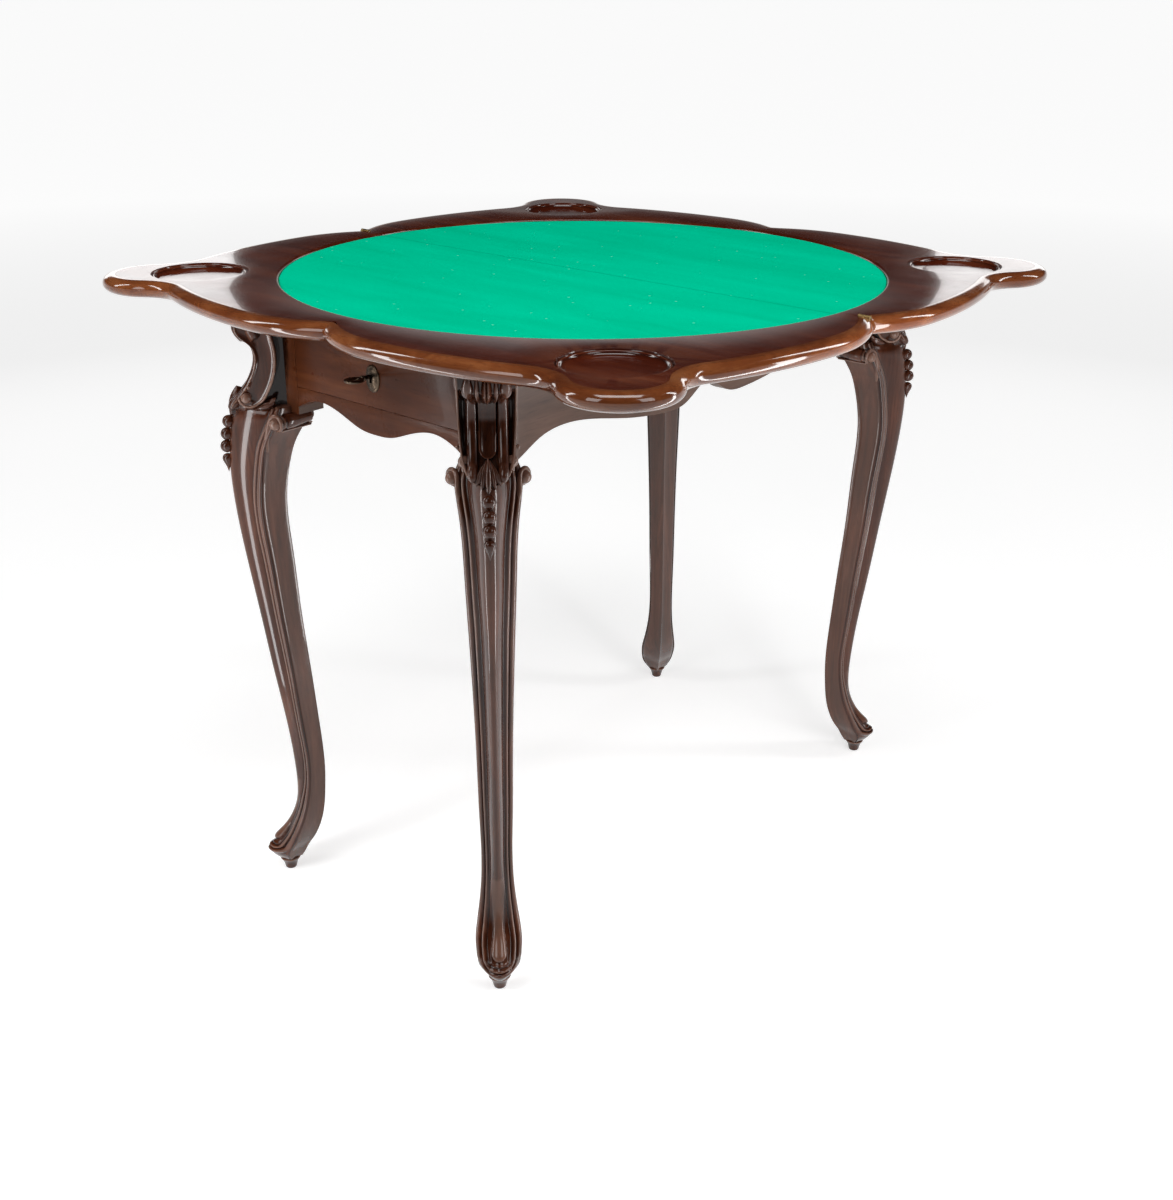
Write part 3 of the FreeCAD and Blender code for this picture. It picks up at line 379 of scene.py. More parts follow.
def smoothCurve(knots, samples):
    # a natural cubic spline through (place, value...) knots, at the given places
    count = len(knots)
    xs = [knot[0] for knot in knots]
    width = len(knots[0]) - 1
    results = [[] for place in samples]
    for item in range(width):
        ys = [knot[item + 1] for knot in knots]
        gaps = [xs[i + 1] - xs[i] for i in range(count - 1)]
        slopes = [(ys[i + 1] - ys[i]) / gaps[i] for i in range(count - 1)]
        lower = [0.0] * count
        diag = [1.0] * count
        upper = [0.0] * count
        right = [0.0] * count
        for i in range(1, count - 1):
            lower[i] = gaps[i - 1]
            diag[i] = 2 * (gaps[i - 1] + gaps[i])
            upper[i] = gaps[i]
            right[i] = 6 * (slopes[i] - slopes[i - 1])
        for i in range(1, count):
            share = lower[i] / diag[i - 1]
            diag[i] -= share * upper[i - 1]
            right[i] -= share * right[i - 1]
        bend = [0.0] * count
        bend[-1] = right[-1] / diag[-1]
        for i in range(count - 2, -1, -1):
            bend[i] = (right[i] - upper[i] * bend[i + 1]) / diag[i]
        for index, place in enumerate(samples):
            i = 0
            while i < count - 2 and place > xs[i + 1]:
                i += 1
            a = (xs[i + 1] - place) / gaps[i]
            b = 1 - a
            value = (a * ys[i] + b * ys[i + 1]
                     + ((a ** 3 - a) * bend[i] + (b ** 3 - b) * bend[i + 1]) * gaps[i] ** 2 / 6)
            results[index].append(value)
    return results


def spread(low, high, count):
    return [low + (high - low) * i / (count - 1) for i in range(count)]


def eased(value):
    value = min(1.0, max(0.0, value))
    return value * value * (3 - 2 * value)


def domed(value):
    # 1 in the middle and 0 at -1 and 1, as a half round
    return math.sqrt(max(0.0, 1 - value * value))


# Node trees for what follows a path or repeats
def newTree(name, inputs):
    tree = bpy.data.node_groups.new(name, "GeometryNodeTree")
    for label, kind in inputs:
        tree.interface.new_socket(label, in_out="INPUT", socket_type=kind)
    tree.interface.new_socket("Mesh", in_out="OUTPUT", socket_type="NodeSocketGeometry")
    return tree, addNode(tree, "NodeGroupInput"), addNode(tree, "NodeGroupOutput")


def closeTree(tree, source, finishSocket, groupOut):
    whole = addNode(tree, "GeometryNodeRealizeInstances")
    paint = addNode(tree, "GeometryNodeSetMaterial")
    tree.links.new(source, whole.inputs[0])
    tree.links.new(whole.outputs[0], paint.inputs["Geometry"])
    tree.links.new(finishSocket, paint.inputs["Material"])
    tree.links.new(paint.outputs[0], groupOut.inputs[0])


def sweepTree():
    # a closed outline drawn along a path; the profile's x points right of the path, its y down
    tree, groupIn, groupOut = newTree("edgeSweep", (
        ("Path", "NodeSocketGeometry"), ("Profile", "NodeSocketObject"), ("Finish", "NodeSocketMaterial")))
    links = tree.links
    path = addNode(tree, "GeometryNodeMeshToCurve")
    upright = addNode(tree, "GeometryNodeSetCurveNormal", mode="Z_UP")
    outline = addNode(tree, "GeometryNodeObjectInfo")
    outlineCurve = addNode(tree, "GeometryNodeMeshToCurve")
    swept = addNode(tree, "GeometryNodeCurveToMesh")
    swept.inputs["Fill Caps"].default_value = True
    links.new(groupIn.outputs["Path"], path.inputs[0])
    links.new(path.outputs[0], upright.inputs[0])
    links.new(groupIn.outputs["Profile"], outline.inputs["Object"])
    links.new(outline.outputs["Geometry"], outlineCurve.inputs[0])
    links.new(upright.outputs[0], swept.inputs["Curve"])
    links.new(outlineCurve.outputs[0], swept.inputs["Profile Curve"])
    closeTree(tree, swept.outputs[0], groupIn.outputs["Finish"], groupOut)
    return tree


def beadTree():
    # turned beads set on points, each as large as its point's own size says
    tree, groupIn, groupOut = newTree("beadString", (
        ("Places", "NodeSocketGeometry"), ("Bead", "NodeSocketObject"), ("Finish", "NodeSocketMaterial")))
    links = tree.links
    bead = addNode(tree, "GeometryNodeObjectInfo")
    size = addNode(tree, "GeometryNodeInputNamedAttribute", data_type="FLOAT")
    size.inputs["Name"].default_value = "size"
    turn = addNode(tree, "GeometryNodeInputNamedAttribute", data_type="FLOAT_VECTOR")
    turn.inputs["Name"].default_value = "turn"
    placed = addNode(tree, "GeometryNodeInstanceOnPoints")
    links.new(groupIn.outputs["Places"], placed.inputs["Points"])
    links.new(groupIn.outputs["Bead"], bead.inputs["Object"])
    links.new(bead.outputs["Geometry"], placed.inputs["Instance"])
    links.new(size.outputs["Attribute"], placed.inputs["Scale"])
    links.new(turn.outputs["Attribute"], placed.inputs["Rotation"])
    closeTree(tree, placed.outputs[0], groupIn.outputs["Finish"], groupOut)
    return tree


def grown(name, source, tree, inputs, smoothAngle):
    # runs a node tree on an object and keeps its result as a plain mesh
    grower = source.modifiers.new(name, "NODES")
    grower.node_group = tree
    for item in tree.interface.items_tree:
        if item.in_out == "INPUT" and item.name in inputs:
            grower[item.identifier] = inputs[item.name]
    graph = bpy.context.evaluated_depsgraph_get()
    mesh = bpy.data.meshes.new_from_object(source.evaluated_get(graph))
    source.modifiers.remove(grower)
    mesh.name = name
    welded(mesh)
    shaded(mesh, smoothAngle)
    return addObject(name, mesh)


def lineObject(name, points, closed):
    edges = [(i, i + 1) for i in range(len(points) - 1)]
    if closed:
        edges.append((len(points) - 1, 0))
    mesh = bpy.data.meshes.new(name)
    mesh.from_pydata(inMetres(points), edges, [])
    return bpy.data.objects.new(name, mesh)


edgeSweep = sweepTree()
beadString = beadTree()


# Outline of the top: half a side is built of arcs and mirrored round each leaf.
topOutline = {
    "reach": 441.0, "neckReach": 406.0, "lobeReach": 430.0, "notchReach": 414.0,
    "lobeRadius": 63.0, "crestOffset": 92.0, "neckOffset": 296.0,
    "panelInset": 16.0, "arcSteps": (14, 22, 14, 20),
}


def sideArcs(inset):
    # centre, radius of the crest, back, neck and lobe arcs; u along the side, v outwards
    values = topOutline
    lobeCentre = values["lobeReach"] - values["lobeRadius"]
    rise = values["reach"] - values["notchReach"]
    crestRadius = (values["crestOffset"] ** 2 + rise ** 2) / (2 * rise)
    gap = lobeCentre - values["neckOffset"]
    hollow = values["neckReach"] - lobeCentre
    lobeRadius = values["lobeRadius"]
    neckRadius = (gap ** 2 + hollow ** 2 - lobeRadius ** 2) / (2 * (lobeRadius - hollow))
    fall = values["reach"] - values["neckReach"]
    apart = values["neckOffset"] - values["crestOffset"]
    backRadius = (apart ** 2 + fall ** 2) / (2 * fall) - neckRadius
    return (
        ((values["crestOffset"], values["reach"] - crestRadius), crestRadius - inset),
        ((values["crestOffset"], values["reach"] - backRadius), backRadius - inset),
        ((values["neckOffset"], values["neckReach"] + neckRadius), neckRadius + inset),
        ((lobeCentre, lobeCentre), lobeRadius - inset),
    )


def onArc(arc, angle):
    (u, v), radius = arc
    return (u + radius * math.cos(angle), v + radius * math.sin(angle))


def heading(first, second):
    return math.atan2(second[0][1] - first[0][1], second[0][0] - first[0][0])


def halfSide(inset, notchAt=0.0):
    # points from the notch to the lobe's middle; notchAt starts the crest at that u
    crest, back, neck, lobe = sideArcs(inset)
    notchAngle = math.acos((notchAt - crest[0][0]) / crest[1])
    backAngle = heading(back, neck)
    neckAngle = heading(lobe, neck)
    spans = ((crest, notchAngle, math.pi / 2), (back, math.pi / 2, backAngle),
             (neck, backAngle + math.pi, neckAngle + math.pi), (lobe, neckAngle, math.pi / 4))
    points = []
    for (arc, low, high), steps in zip(spans, topOutline["arcSteps"]):
        points += [onArc(arc, angle) for angle in spread(low, high, steps + 1)[:-1]]
    points.append(onArc(lobe, math.pi / 4))
    return points


def leafOutline(side, inset, notchAt=0.0):
    # from the notch at -y round the leaf's outer corners to the notch at +y; side -1 is the lower leaf
    half = halfSide(inset, notchAt)
    full = halfSide(inset)
    near = [(u, -v) for u, v in half]
    up = [(v, -u) for u, v in reversed(full)]
    quarter = near + up[1:]
    far = [(x, -y) for x, y in reversed(quarter)]
    points = quarter + far[1:]
    return [(side * x, y) for x, y in points]


# Moulding round each leaf
moulding = {
    "noseReach": 13.0, "profileSteps": 18, "overlap": 3.0, "lowerStep": 1.0, "stepHeight": 2.2,
    "smoothAngle": 40.0, "finish": "edgeMahogany",
}
leaves = {"lower": -1, "upper": 1}


def mouldingProfile():
    # x outwards from the outline, y down from the table's top
    thick = table["topHeight"] - table["leafFoot"]
    points = [(-topOutline["panelInset"], 0.0)]
    steps = moulding["profileSteps"]
    middle = thick / 2
    for step in range(steps + 1):
        angle = math.radians(90 - 180 * step / steps)
        out = -moulding["noseReach"] * (1 - math.cos(angle))
        points.append((out, middle - middle * math.sin(angle)))
    # a narrow step under the nose catches a line of light
    foot = points.pop()
    points.append((foot[0] + moulding["lowerStep"], thick - moulding["stepHeight"] / 2))
    points.append((foot[0] + moulding["lowerStep"], thick))
    points.append((-topOutline["panelInset"], thick))
    return points


def cutAtFold(piece, side):
    # ends square on the fold line
    cutter = bmesh.new()
    cutter.from_mesh(piece.data)
    place = Vector((side * table["seam"] * toMetres, 0, 0))
    parts = cutter.verts[:] + cutter.edges[:] + cutter.faces[:]
    cut = bmesh.ops.bisect_plane(cutter, geom=parts, dist=cutTolerance, plane_co=place,
                                 plane_no=Vector((-side, 0, 0)), clear_outer=True)
    rims = [item for item in cut["geom_cut"] if isinstance(item, bmesh.types.BMEdge)]
    bmesh.ops.holes_fill(cutter, edges=rims, sides=0)
    bmesh.ops.recalc_face_normals(cutter, faces=cutter.faces)
    cutter.to_mesh(piece.data)
    cutter.free()


def makeMouldings():
    profile = lineObject("mouldingProfile", [(x, y, 0) for x, y in mouldingProfile()], True)
    made = {}
    for name, side in leaves.items():
        line = leafOutline(side, 0.0, -moulding["overlap"])
        if side < 0:
            line.reverse()
        path = lineObject(name + "MouldingPath", [(x, y, table["topHeight"]) for x, y in line], False)
        bpy.context.scene.collection.objects.link(path)
        inputs = {"Profile": profile, "Finish": finishes[moulding["finish"]]}
        piece = grown(name + "Moulding", path, edgeSweep, inputs, moulding["smoothAngle"])
        bpy.data.objects.remove(path)
        cutAtFold(piece, side)
        made[name] = piece
    bpy.data.objects.remove(profile)
    return made


mouldings = makeMouldings()
print("mouldings swept")


# Leaf panels: flat tops with the cloth's lip, and turned wells
panel = {
    "clothRadius": 369.0, "clothRecess": 3.5, "lipSteps": 6, "roundSteps": 128,
    "wellPlace": 329.5, "wellSteps": 72, "foldBack": 0.2, "jointGap": 0.25, "smoothAngle": 35.0,
}
# radius, way down and painted shading, from the rim inwards
wellProfile = (
    (58.0, 0.0, 0.5), (57.9, -0.7, 0.2), (57.5, -2.6, -0.6), (57.0, -3.4, -0.9), (56.4, -3.6, -0.9),
    (55.9, -3.0, -0.3), (55.4, -2.15, 0.3), (54.8, -1.75, 0.6), (54.1, -1.75, 0.6), (53.5, -2.15, 0.2),
    (53.0, -3.0, -0.5), (52.5, -3.9, -0.7), (51.6, -4.8, -0.4), (50.2, -5.6, -0.2), (47.0, -6.2, 0.0),
    (38.0, -6.55, 0.0), (20.0, -6.7, 0.0), (8.0, -6.72, 0.0),
)


def panelOutline(side):
    # outer edge, then back along the fold line round the cloth's recess
    outer = leafOutline(side, topOutline["panelInset"] + panel["jointGap"], table["seam"] + panel["foldBack"])
    fold = side * (table["seam"] + panel["foldBack"])
    lip = panel["clothRadius"] + panel["clothRecess"]
    start = math.acos((table["seam"] + panel["foldBack"]) / lip)
    angles = spread(start, -start, panel["roundSteps"] + 1)
    inner = [(side * lip * math.cos(angle), lip * math.sin(angle)) for angle in angles]
    return outer, inner, fold


def insideLoop(point, loop):
    inside = False
    x, y = point
    for (ax, ay), (bx, by) in zip(loop, loop[1:] + loop[:1]):
        if (ay > y) != (by > y) and x < ax + (bx - ax) * (y - ay) / (by - ay):
            inside = not inside
    return inside


def flatTriangles(outer, holes):
    # triangles inside the outer loop and outside the holes
    points = []
    edges = []
    for loop in [outer] + holes:
        start = len(points)
        points += [Vector(point) for point in loop]
        edges += [(start + i, start + (i + 1) % len(loop)) for i in range(len(loop))]
    found = delaunay_2d_cdt(points, edges, [], 1, cutTolerance)
    places = [tuple(point) for point in found[0]]
    faces = []
    for face in found[2]:
        middle = [sum(places[i][axis] for i in face) / len(face) for axis in (0, 1)]
        if not any(insideLoop(middle, hole) for hole in holes):
            faces.append(tuple(face))
    return places, faces


def makePanel(name, side):
    shape = Shape()
    top = table["topHeight"]
    foot = table["leafFoot"]
    outer, inner, fold = panelOutline(side)
    place = panel["wellPlace"]
    rounds = circle(panel["wellSteps"])
    wells = [[[(side * place + radius * c, end * place + radius * s, down + top) for c, s in rounds]
              for radius, down, shade in wellProfile] for end in (-1, 1)]
    points, faces = flatTriangles(outer + inner, [[(x, y) for x, y, z in well[0]] for well in wells])
    shape.add([(x, y, top) for x, y in points], faces)
    # underside and outer edge
    shape.add([(x, y, foot) for x, y in outer], [tuple(range(len(outer)))])
    shape.add([(x, y, z) for z in (foot, top) for x, y in outer], gridFaces(2, len(outer), False))
    # rounded lip down to the cloth's bed, and the bed itself
    rings = []
    for step in range(panel["lipSteps"] + 1):
        angle = math.pi / 2 * step / panel["lipSteps"]
        share = 1 - math.sin(angle)
        down = panel["clothRecess"] * (1 - math.cos(angle))
        radius = panel["clothRadius"] + panel["clothRecess"] * share
        scale = radius / (panel["clothRadius"] + panel["clothRecess"])
        ring = [(x * scale if step else x, y * scale, top - down) for x, y in inner]
        ring[0] = (fold, ring[0][1], ring[0][2])
        ring[-1] = (fold, ring[-1][1], ring[-1][2])
        rings.append(ring)
    shape.loft(rings, closed=False, caps=False)
    bed = rings[-1]
    shape.add(bed, [tuple(range(len(bed)))])
    # fold edge, as one strip below the bed and two above it
    bedHeight = top - panel["clothRecess"]
    low, high = outer[0][1], outer[-1][1]
    shape.add([(fold, low, foot), (fold, high, foot), (fold, high, bedHeight), (fold, low, bedHeight)],
              [(0, 1, 2, 3)])
    for far, rim in ((low, [ring[-1] for ring in rings]), (high, [ring[0] for ring in rings])):
        strip = [(fold, far, bedHeight), (fold, far, top)] + rim
        shape.add(strip, [tuple(range(len(strip)))])
    for well in wells:
        shape.loft(well, [[shade] * len(rounds) for radius, down, shade in wellProfile], caps=False)
        shape.add(well[-1], [tuple(range(len(rounds)))])
    return meshObject(name + "Panel", shape, finishes["topMahogany"], panel["smoothAngle"])


panels = {name: makePanel(name, side) for name, side in leaves.items()}
print("panels laid")


# Cloth: a half round on each leaf
clothPiece = {
    "radius": 368.6, "bed": 756.5, "bedGap": 0.02, "thickness": 1.2, "creaseWidth": 2.2, "creaseDepth": 0.35,
    "wave": 0.12, "waveX": (0.021, 1.3), "waveY": (0.017, -0.4), "rings": 40, "spokes": 96,
    "edgeDrop": 0.5, "edgeWidth": 2.0, "smoothAngle": 50.0,
}


def clothHeight(x, y, radius):
    values = clothPiece
    height = values["bed"] + values["thickness"]
    height -= values["creaseDepth"] * math.exp(-(abs(x) / values["creaseWidth"]) ** 2)
    (rateX, startX), (rateY, startY) = values["waveX"], values["waveY"]
    height += values["wave"] * (math.sin(x * rateX + startX) * math.sin(y * rateY + startY) - 0.5) * 0.5
    edge = max(0.0, radius - values["radius"] + values["edgeWidth"]) / values["edgeWidth"]
    return height - values["edgeDrop"] * edge * edge


def makeCloth(name, side):
    values = clothPiece
    shape = Shape()
    levels = []
    for upper in (False, True):
        rows = []
        for ring in range(1, values["rings"] + 1):
            radius = values["radius"] * math.sin(math.pi / 2 * ring / values["rings"])
            row = []
            for spoke in range(values["spokes"] + 1):
                angle = -math.pi / 2 + math.pi * spoke / values["spokes"]
                x = side * max(table["seam"], radius * math.cos(angle))
                y = radius * math.sin(angle)
                under = values["bed"] + values["bedGap"]
                row.append((x, y, clothHeight(x, y, radius) if upper else under))
            rows.append(row)
        levels.append(rows)
    low, high = levels
    for rows in levels:
        shape.loft(rows, closed=False, caps=False)
        centre = (side * table["seam"], 0.0, rows[0][0][2])
        count = len(rows[0])
        shape.add([centre] + rows[0], [(0, i + 1, i + 2) for i in range(count - 1)])
    shape.loft([low[-1], high[-1]], closed=False, caps=False)

    def foldLine(rows):
        middle = (side * table["seam"], 0.0, rows[0][0][2])
        return [row[0] for row in reversed(rows)] + [middle] + [row[-1] for row in rows]
    shape.loft([foldLine(low), foldLine(high)], closed=False, caps=False)
    return meshObject(name + "Cloth", shape, finishes["greenBaize"], values["smoothAngle"])


cloths = {name: makeCloth(name, side) for name, side in leaves.items()}
print("cloth laid")


# Round rods that follow a bent path
def tube(shape, path, radii, steps, paintedShading):
    places = [Vector(point) for point in path]
    across = None
    rings = []
    for index, (place, radius) in enumerate(zip(places, radii)):
        ahead = places[min(index + 1, len(places) - 1)] - places[max(index - 1, 0)]
        ahead.normalize()
        if across is None:
            across = ahead.orthogonal()
        across = (across - ahead * across.dot(ahead)).normalized()
        other = ahead.cross(across)
        rings.append([tuple(place + (across * c + other * s) * radius) for c, s in circle(steps)])
    shape.loft(rings, [[paintedShading] * steps] * len(rings))


def bentPath(points, count):
    # a smooth path through a few points
    knots = [(index, *point) for index, point in enumerate(points)]
    return [tuple(place) for place in smoothCurve(knots, spread(0, len(points) - 1, count))]


# Legs: height, front and back in the corner's upright plane, half width
legStations = (
    (634.0, 17.5, -66.0, 30.6), (627.0, 20.4, -66.5, 33.8), (619.0, 23.2, -64.5, 35.4),
    (609.0, 26.4, -59.5, 35.0), (590.2, 29.4, -48.6, 32.4), (565.0, 31.4, -40.0, 29.6),
    (519.9, 30.4, -32.4, 27.4), (450.2, 23.0, -34.6, 24.8), (370.2, 11.8, -38.9, 22.0),
    (290.3, 1.0, -45.4, 20.1), (210.3, -10.6, -51.3, 18.8), (150.3, -16.3, -54.0, 17.8),
    (110.3, -15.7, -51.8, 20.1), (80.0, -7.0, -47.5, 24.4), (58.1, 6.4, -40.5, 26.8),
    (43.0, 19.6, -32.4, 25.8), (34.5, 25.2, -26.4, 24.6), (28.0, 25.0, -23.0, 22.2),
    (22.0, 20.6, -19.6, 18.2), (16.4, 14.2, -16.0, 13.2),
)
carvedLeg = {
    "foot": 16.4, "top": 634.0, "topEase": 1.8, "topEaseReach": 30.0, "lip": 29.0, "unit": 25.0,
    "sideSteps": 36, "frontSteps": 16, "faceSteps": 7, "facePower": 1.7, "fineStep": 0.85, "fineTop": 118.0,
    "plainRows": 110, "turn": 16.5, "ridge": 3.2, "heel": (0.8, 0.55), "backGroove": 1.1,
    "slant": 0.95, "ribPower": 0.8, "slopeStep": 0.3,
    "toePower": 1.7, "toeHollow": 2.2, "toeTop": 118.0, "toeFade": 62.0, "toeInset": 1.5, "toeBlend": 4.0,
    "dropMiddle": 29.0, "shadowReach": 2.2, "shadowFade": 1.2, "smoothAngle": 50.0,
}
# painted shading of the legs' colour: below 0 painted shade, above 0 painted highlight; the drop's shadow is
# painted shadow
legShades = {
    "drop": 0.3, "dropShadow": -0.5, "foot": -0.3, "rib": 0.3, "ribFoot": -0.1, "groove": -0.6,
    "face": 0.28, "back": 0.3, "top": 0.5,
}
# carved border, from the edge inwards, in units that widen with the leg:
# width, rise or fall, painted shading on its crest and at its foot
borderBands = ((5.3, 1.9, 0.4, -0.25), (1.7, -1.4, -0.95, 0.0), (3.4, 1.3, 0.55, -0.35), (3.1, -1.7, -0.8, 0.0))
borderWidth = sum(band[0] for band in borderBands)
# the raised stem that ends in a drop on the toe: way up from the lip, half width, rise
stemKnots = (
    (29.0, 9.9, 6.2), (38.0, 8.8, 5.2), (52.0, 6.9, 3.6), (70.0, 6.6, 2.4), (95.0, 8.0, 1.2), (128.0, 9.0, 0.4),
)


def borderProfile(distance):
    for width, rise, crest, foot in borderBands:
        if 0 <= distance < width:
            middle = domed(2 * distance / width - 1) if rise > 0 else math.sin(math.pi * distance / width)
            return rise * middle, foot + (crest - foot) * middle
        distance -= width
    return 0.0, 0.0


def toeShare(up):
    return eased((carvedLeg["toeTop"] - up) / carvedLeg["toeFade"])


def toeProfile(across, up, distance):
    # hollow of the toe and the drop with its stem, with a painted shadow round the drop
    v = carvedLeg
    toe = toeShare(up)
    if not toe:
        return 0.0, 0.0
    middle = v["dropMiddle"]
    half, rise = smoothCurve(stemKnots, [max(middle, min(up, stemKnots[-1][0]))])[0]
    away = abs(across) / half if up > middle else math.hypot(across, up - middle) / half
    inside = eased((distance - borderWidth + v["toeInset"]) / v["toeBlend"])
    lift = -v["toeHollow"] * toe * inside
    if away < 1:
        bump = domed(away)
        return lift + rise * toe * bump, legShades["drop"] * bump
    return lift, legShades["dropShadow"] * toe * inside * eased((v["shadowReach"] - away) / v["shadowFade"])


def legHeights():
    v = carvedLeg
    count = int((v["fineTop"] - v["foot"]) / v["fineStep"])
    low = [v["foot"] + index * v["fineStep"] for index in range(count)]
    return low + spread(v["fineTop"], v["top"], v["plainRows"])


def climbs(heights, shapes):
    # way up the middle of the front from the toe's lip
    v = carvedLeg
    run = 0.0
    found = []
    for index, z in enumerate(heights):
        if index and z > v["lip"]:
            run += math.hypot(shapes[index][0] - shapes[index - 1][0], z - heights[index - 1])
        found.append(run if z > v["lip"] else z - v["lip"])
    return found


def legFront(up, front, corner, half):
    # one side of the carved front, from the side corner to the middle: the border lies on a slant,
    # a round rib stands between the two borders, and both run out into the flat curve of the toe
    v = carvedLeg
    widening = max(1.0, v["unit"] / half)
    ribHalf = half - borderWidth / widening
    slant = corner + v["slant"] * (half - ribHalf)
    toe = toeShare(up)

    def depthAt(t):
        if t > ribHalf:
            ribbed = corner + v["slant"] * (half - t)
        else:
            ribbed = slant + (front - slant) * max(0.0, 1 - (t / ribHalf) ** 2) ** v["ribPower"]
        plain = front + (corner - front) * (t / half) ** v["toePower"]
        return ribbed + (plain - ribbed) * toe

    places = spread(half, ribHalf, v["sideSteps"])
    places += [ribHalf * math.cos(angle) for angle in spread(0.0, math.pi / 2, v["frontSteps"] + 1)[1:]]
    side = []
    step, turn = v["slopeStep"], v["turn"]
    for t in places:
        t = max(0.0, t)
        s = depthAt(t)
        ds, dt = depthAt(max(0.0, t - step)) - depthAt(t + step), -(t + step - max(0.0, t - step))
        if t < 1e-6:
            ds = 0.0
        size = math.hypot(ds, dt)
        edge = (half - t) * widening
        distance = min(edge, up)
        if edge < turn and up < turn:
            distance = turn - math.hypot(turn - edge, turn - up)
        rise, shade = borderProfile(distance) if up > 0 else (0.0, legShades["foot"])
        if distance > borderWidth:
            shade += legShades["rib"] * domed(t / ribHalf) + legShades["ribFoot"]
        toeRise, toeShade = toeProfile(t, up, distance)
        lift = rise + toeRise
        side.append((s - dt / size * lift, t + ds / size * lift, shade + toeShade))
    return side


def legInner(back, corner, half):
    # the flat inner face, with a groove behind the roll
    v = carvedLeg
    heel = (back + v["ridge"] * v["heel"][0], v["ridge"] * v["heel"][1])
    inner = []
    for step in range(1, v["faceSteps"] + 1):
        share = (step / v["faceSteps"]) ** v["facePower"]
        deep = v["backGroove"] if step == 1 else 0.0
        s = corner + (heel[0] - corner) * share
        t = half + (heel[1] - half) * share
        shade = legShades["groove"] if deep else legShades["face"]
        inner.append((s + deep * diagonal, t - deep * diagonal, shade))
    return inner


def legSurface():
    heights = legHeights()
    shapes = smoothCurve(sorted(legStations), heights)
    rings, paintedShadingRows = [], []
    for z, up, (front, back, half) in zip(heights, climbs(heights, shapes), shapes):
        corner = back + half
        side = legFront(up, front, corner, half)
        inner = legInner(back, corner, half)
        ring = inner[::-1] + side + [(s, -t, shade) for s, t, shade in side[::-1][1:] + inner]
        ring.append((back, 0.0, legShades["back"]))
        rings.append([(s, t, z) for s, t, shade in ring])
        paintedShadingRows.append([shade for s, t, shade in ring])
    ease, reach = carvedLeg["topEase"], carvedLeg["topEaseReach"]
    middle = sum(point[0] for point in rings[-1]) / len(rings[-1])
    rings.append([(s + (middle - s) * ease / reach, t - t * ease / reach, z + ease / 2)
                  for s, t, z in rings[-1]])
    paintedShadingRows.append([legShades["top"]] * len(rings[-1]))
    return rings, paintedShadingRows


# the third number of each pad point is painted shading
pad = {
    "offset": -0.5, "steps": 40,
    "profile": (
        (0.0, 0.0, 0.0), (5.6, 0.0, 0.0), (6.8, 0.5, 0.0), (7.6, 1.8, 0.0), (7.9, 3.4, 0.1), (8.5, 6.0, 0.0),
        (9.6, 9.4, -0.1), (11.0, 12.4, -0.2), (12.1, 14.2, -0.5), (12.9, 15.2, 0.4), (13.2, 16.0, 0.8),
        (12.8, 16.8, 0.4), (11.6, 17.4, -0.5), (0.0, 18.0, -0.5),
    ),
}
ear = {
    "s": -30.0, "t": 37.6, "z": 618.3, "ball": 7.3, "roll": 8.8, "length": 50.0, "end": 6.6, "steps": 28,
    # shares of the ball, and then of the roll and the ball, from the ball's back to the plain roll
    "ballTurn": 2.2, "ballSteps": 10, "neck": (0.72, 0.8),
    "collar": ((0.86, 1.0), (0.95, 1.15), (0.92, 1.4), (0.86, 1.55), (1.0, 1.9)),
    # painted shading for each ring of the ball and the roll
    "shades": (0.75,) * 8 + (0.2, -0.5, -0.9, 0.5, 0.6, 0.0, -0.7, 0.1, 0.0, 0.0, 0.0),
    # the edge's bead climbs and curls over the ball: outwards from the inner face, up, inwards
    "curl": (
        (-19.0, -36.0, -1.0), (-13.8, -20.0, -3.4), (-10.6, -8.0, -2.6), (-8.8, 1.4, -1.0), (-4.6, 7.6, 0.4),
        (1.8, 8.8, 1.4), (7.2, 5.0, 2.0), (8.4, -1.4, 2.4), (5.0, -6.8, 3.0), (-0.6, -8.6, 3.8),
    ),
    # the curl and the ledge below carry painted highlight
    "curlRadius": 3.2, "curlTaper": 0.35, "curlSteps": 44, "curlSides": 12, "curlShade": 0.6,
    "ledgeDrop": 1.4, "ledgeShade": 0.8,
    "ledge": ((-4.0, 1.6), (2.6, 1.6), (3.6, 0.6), (2.6, -0.6), (-4.0, -0.6)),
}


def earShape(shape, side):
    # a roll along the top of an inner face, capped by a ball inside a curl
    v = ear
    start = Vector((v["s"], side * v["t"], v["z"]))
    inward = Vector((-diagonal, -side * diagonal, 0))
    up = Vector((0, 0, 1))
    out = inward.cross(up) * side

    def place(point):
        return tuple(start + out * point[0] + up * point[1] + inward * point[2])
    ball, roll, length = v["ball"], v["roll"], v["length"]
    profile = [(ball * math.sin(angle), -ball * math.cos(angle))
               for angle in spread(0.0, v["ballTurn"], v["ballSteps"])]
    profile.append((ball * v["neck"][0], ball * v["neck"][1]))
    profile += [(roll * thick, ball * along) for thick, along in v["collar"]]
    profile += [(roll, length * 0.5), (v["end"], length), (0.0, length)]
    lathed(shape, [(*point, shade) for point, shade in zip(profile, v["shades"])], place, v["steps"])
    last = v["curlSteps"] - 1
    path = [place(point) for point in bentPath(v["curl"], v["curlSteps"])]
    radii = [v["curlRadius"] * (1 - v["curlTaper"] * index / last) for index in range(last + 1)]
    tube(shape, path, radii, v["curlSides"], v["curlShade"])
    low = -roll - v["ledgeDrop"]
    ledge = [[place((a, low + b, along)) for a, b in v["ledge"]] for along in (ball, length)]
    shape.loft(ledge, [[v["ledgeShade"]] * len(v["ledge"])] * 2)


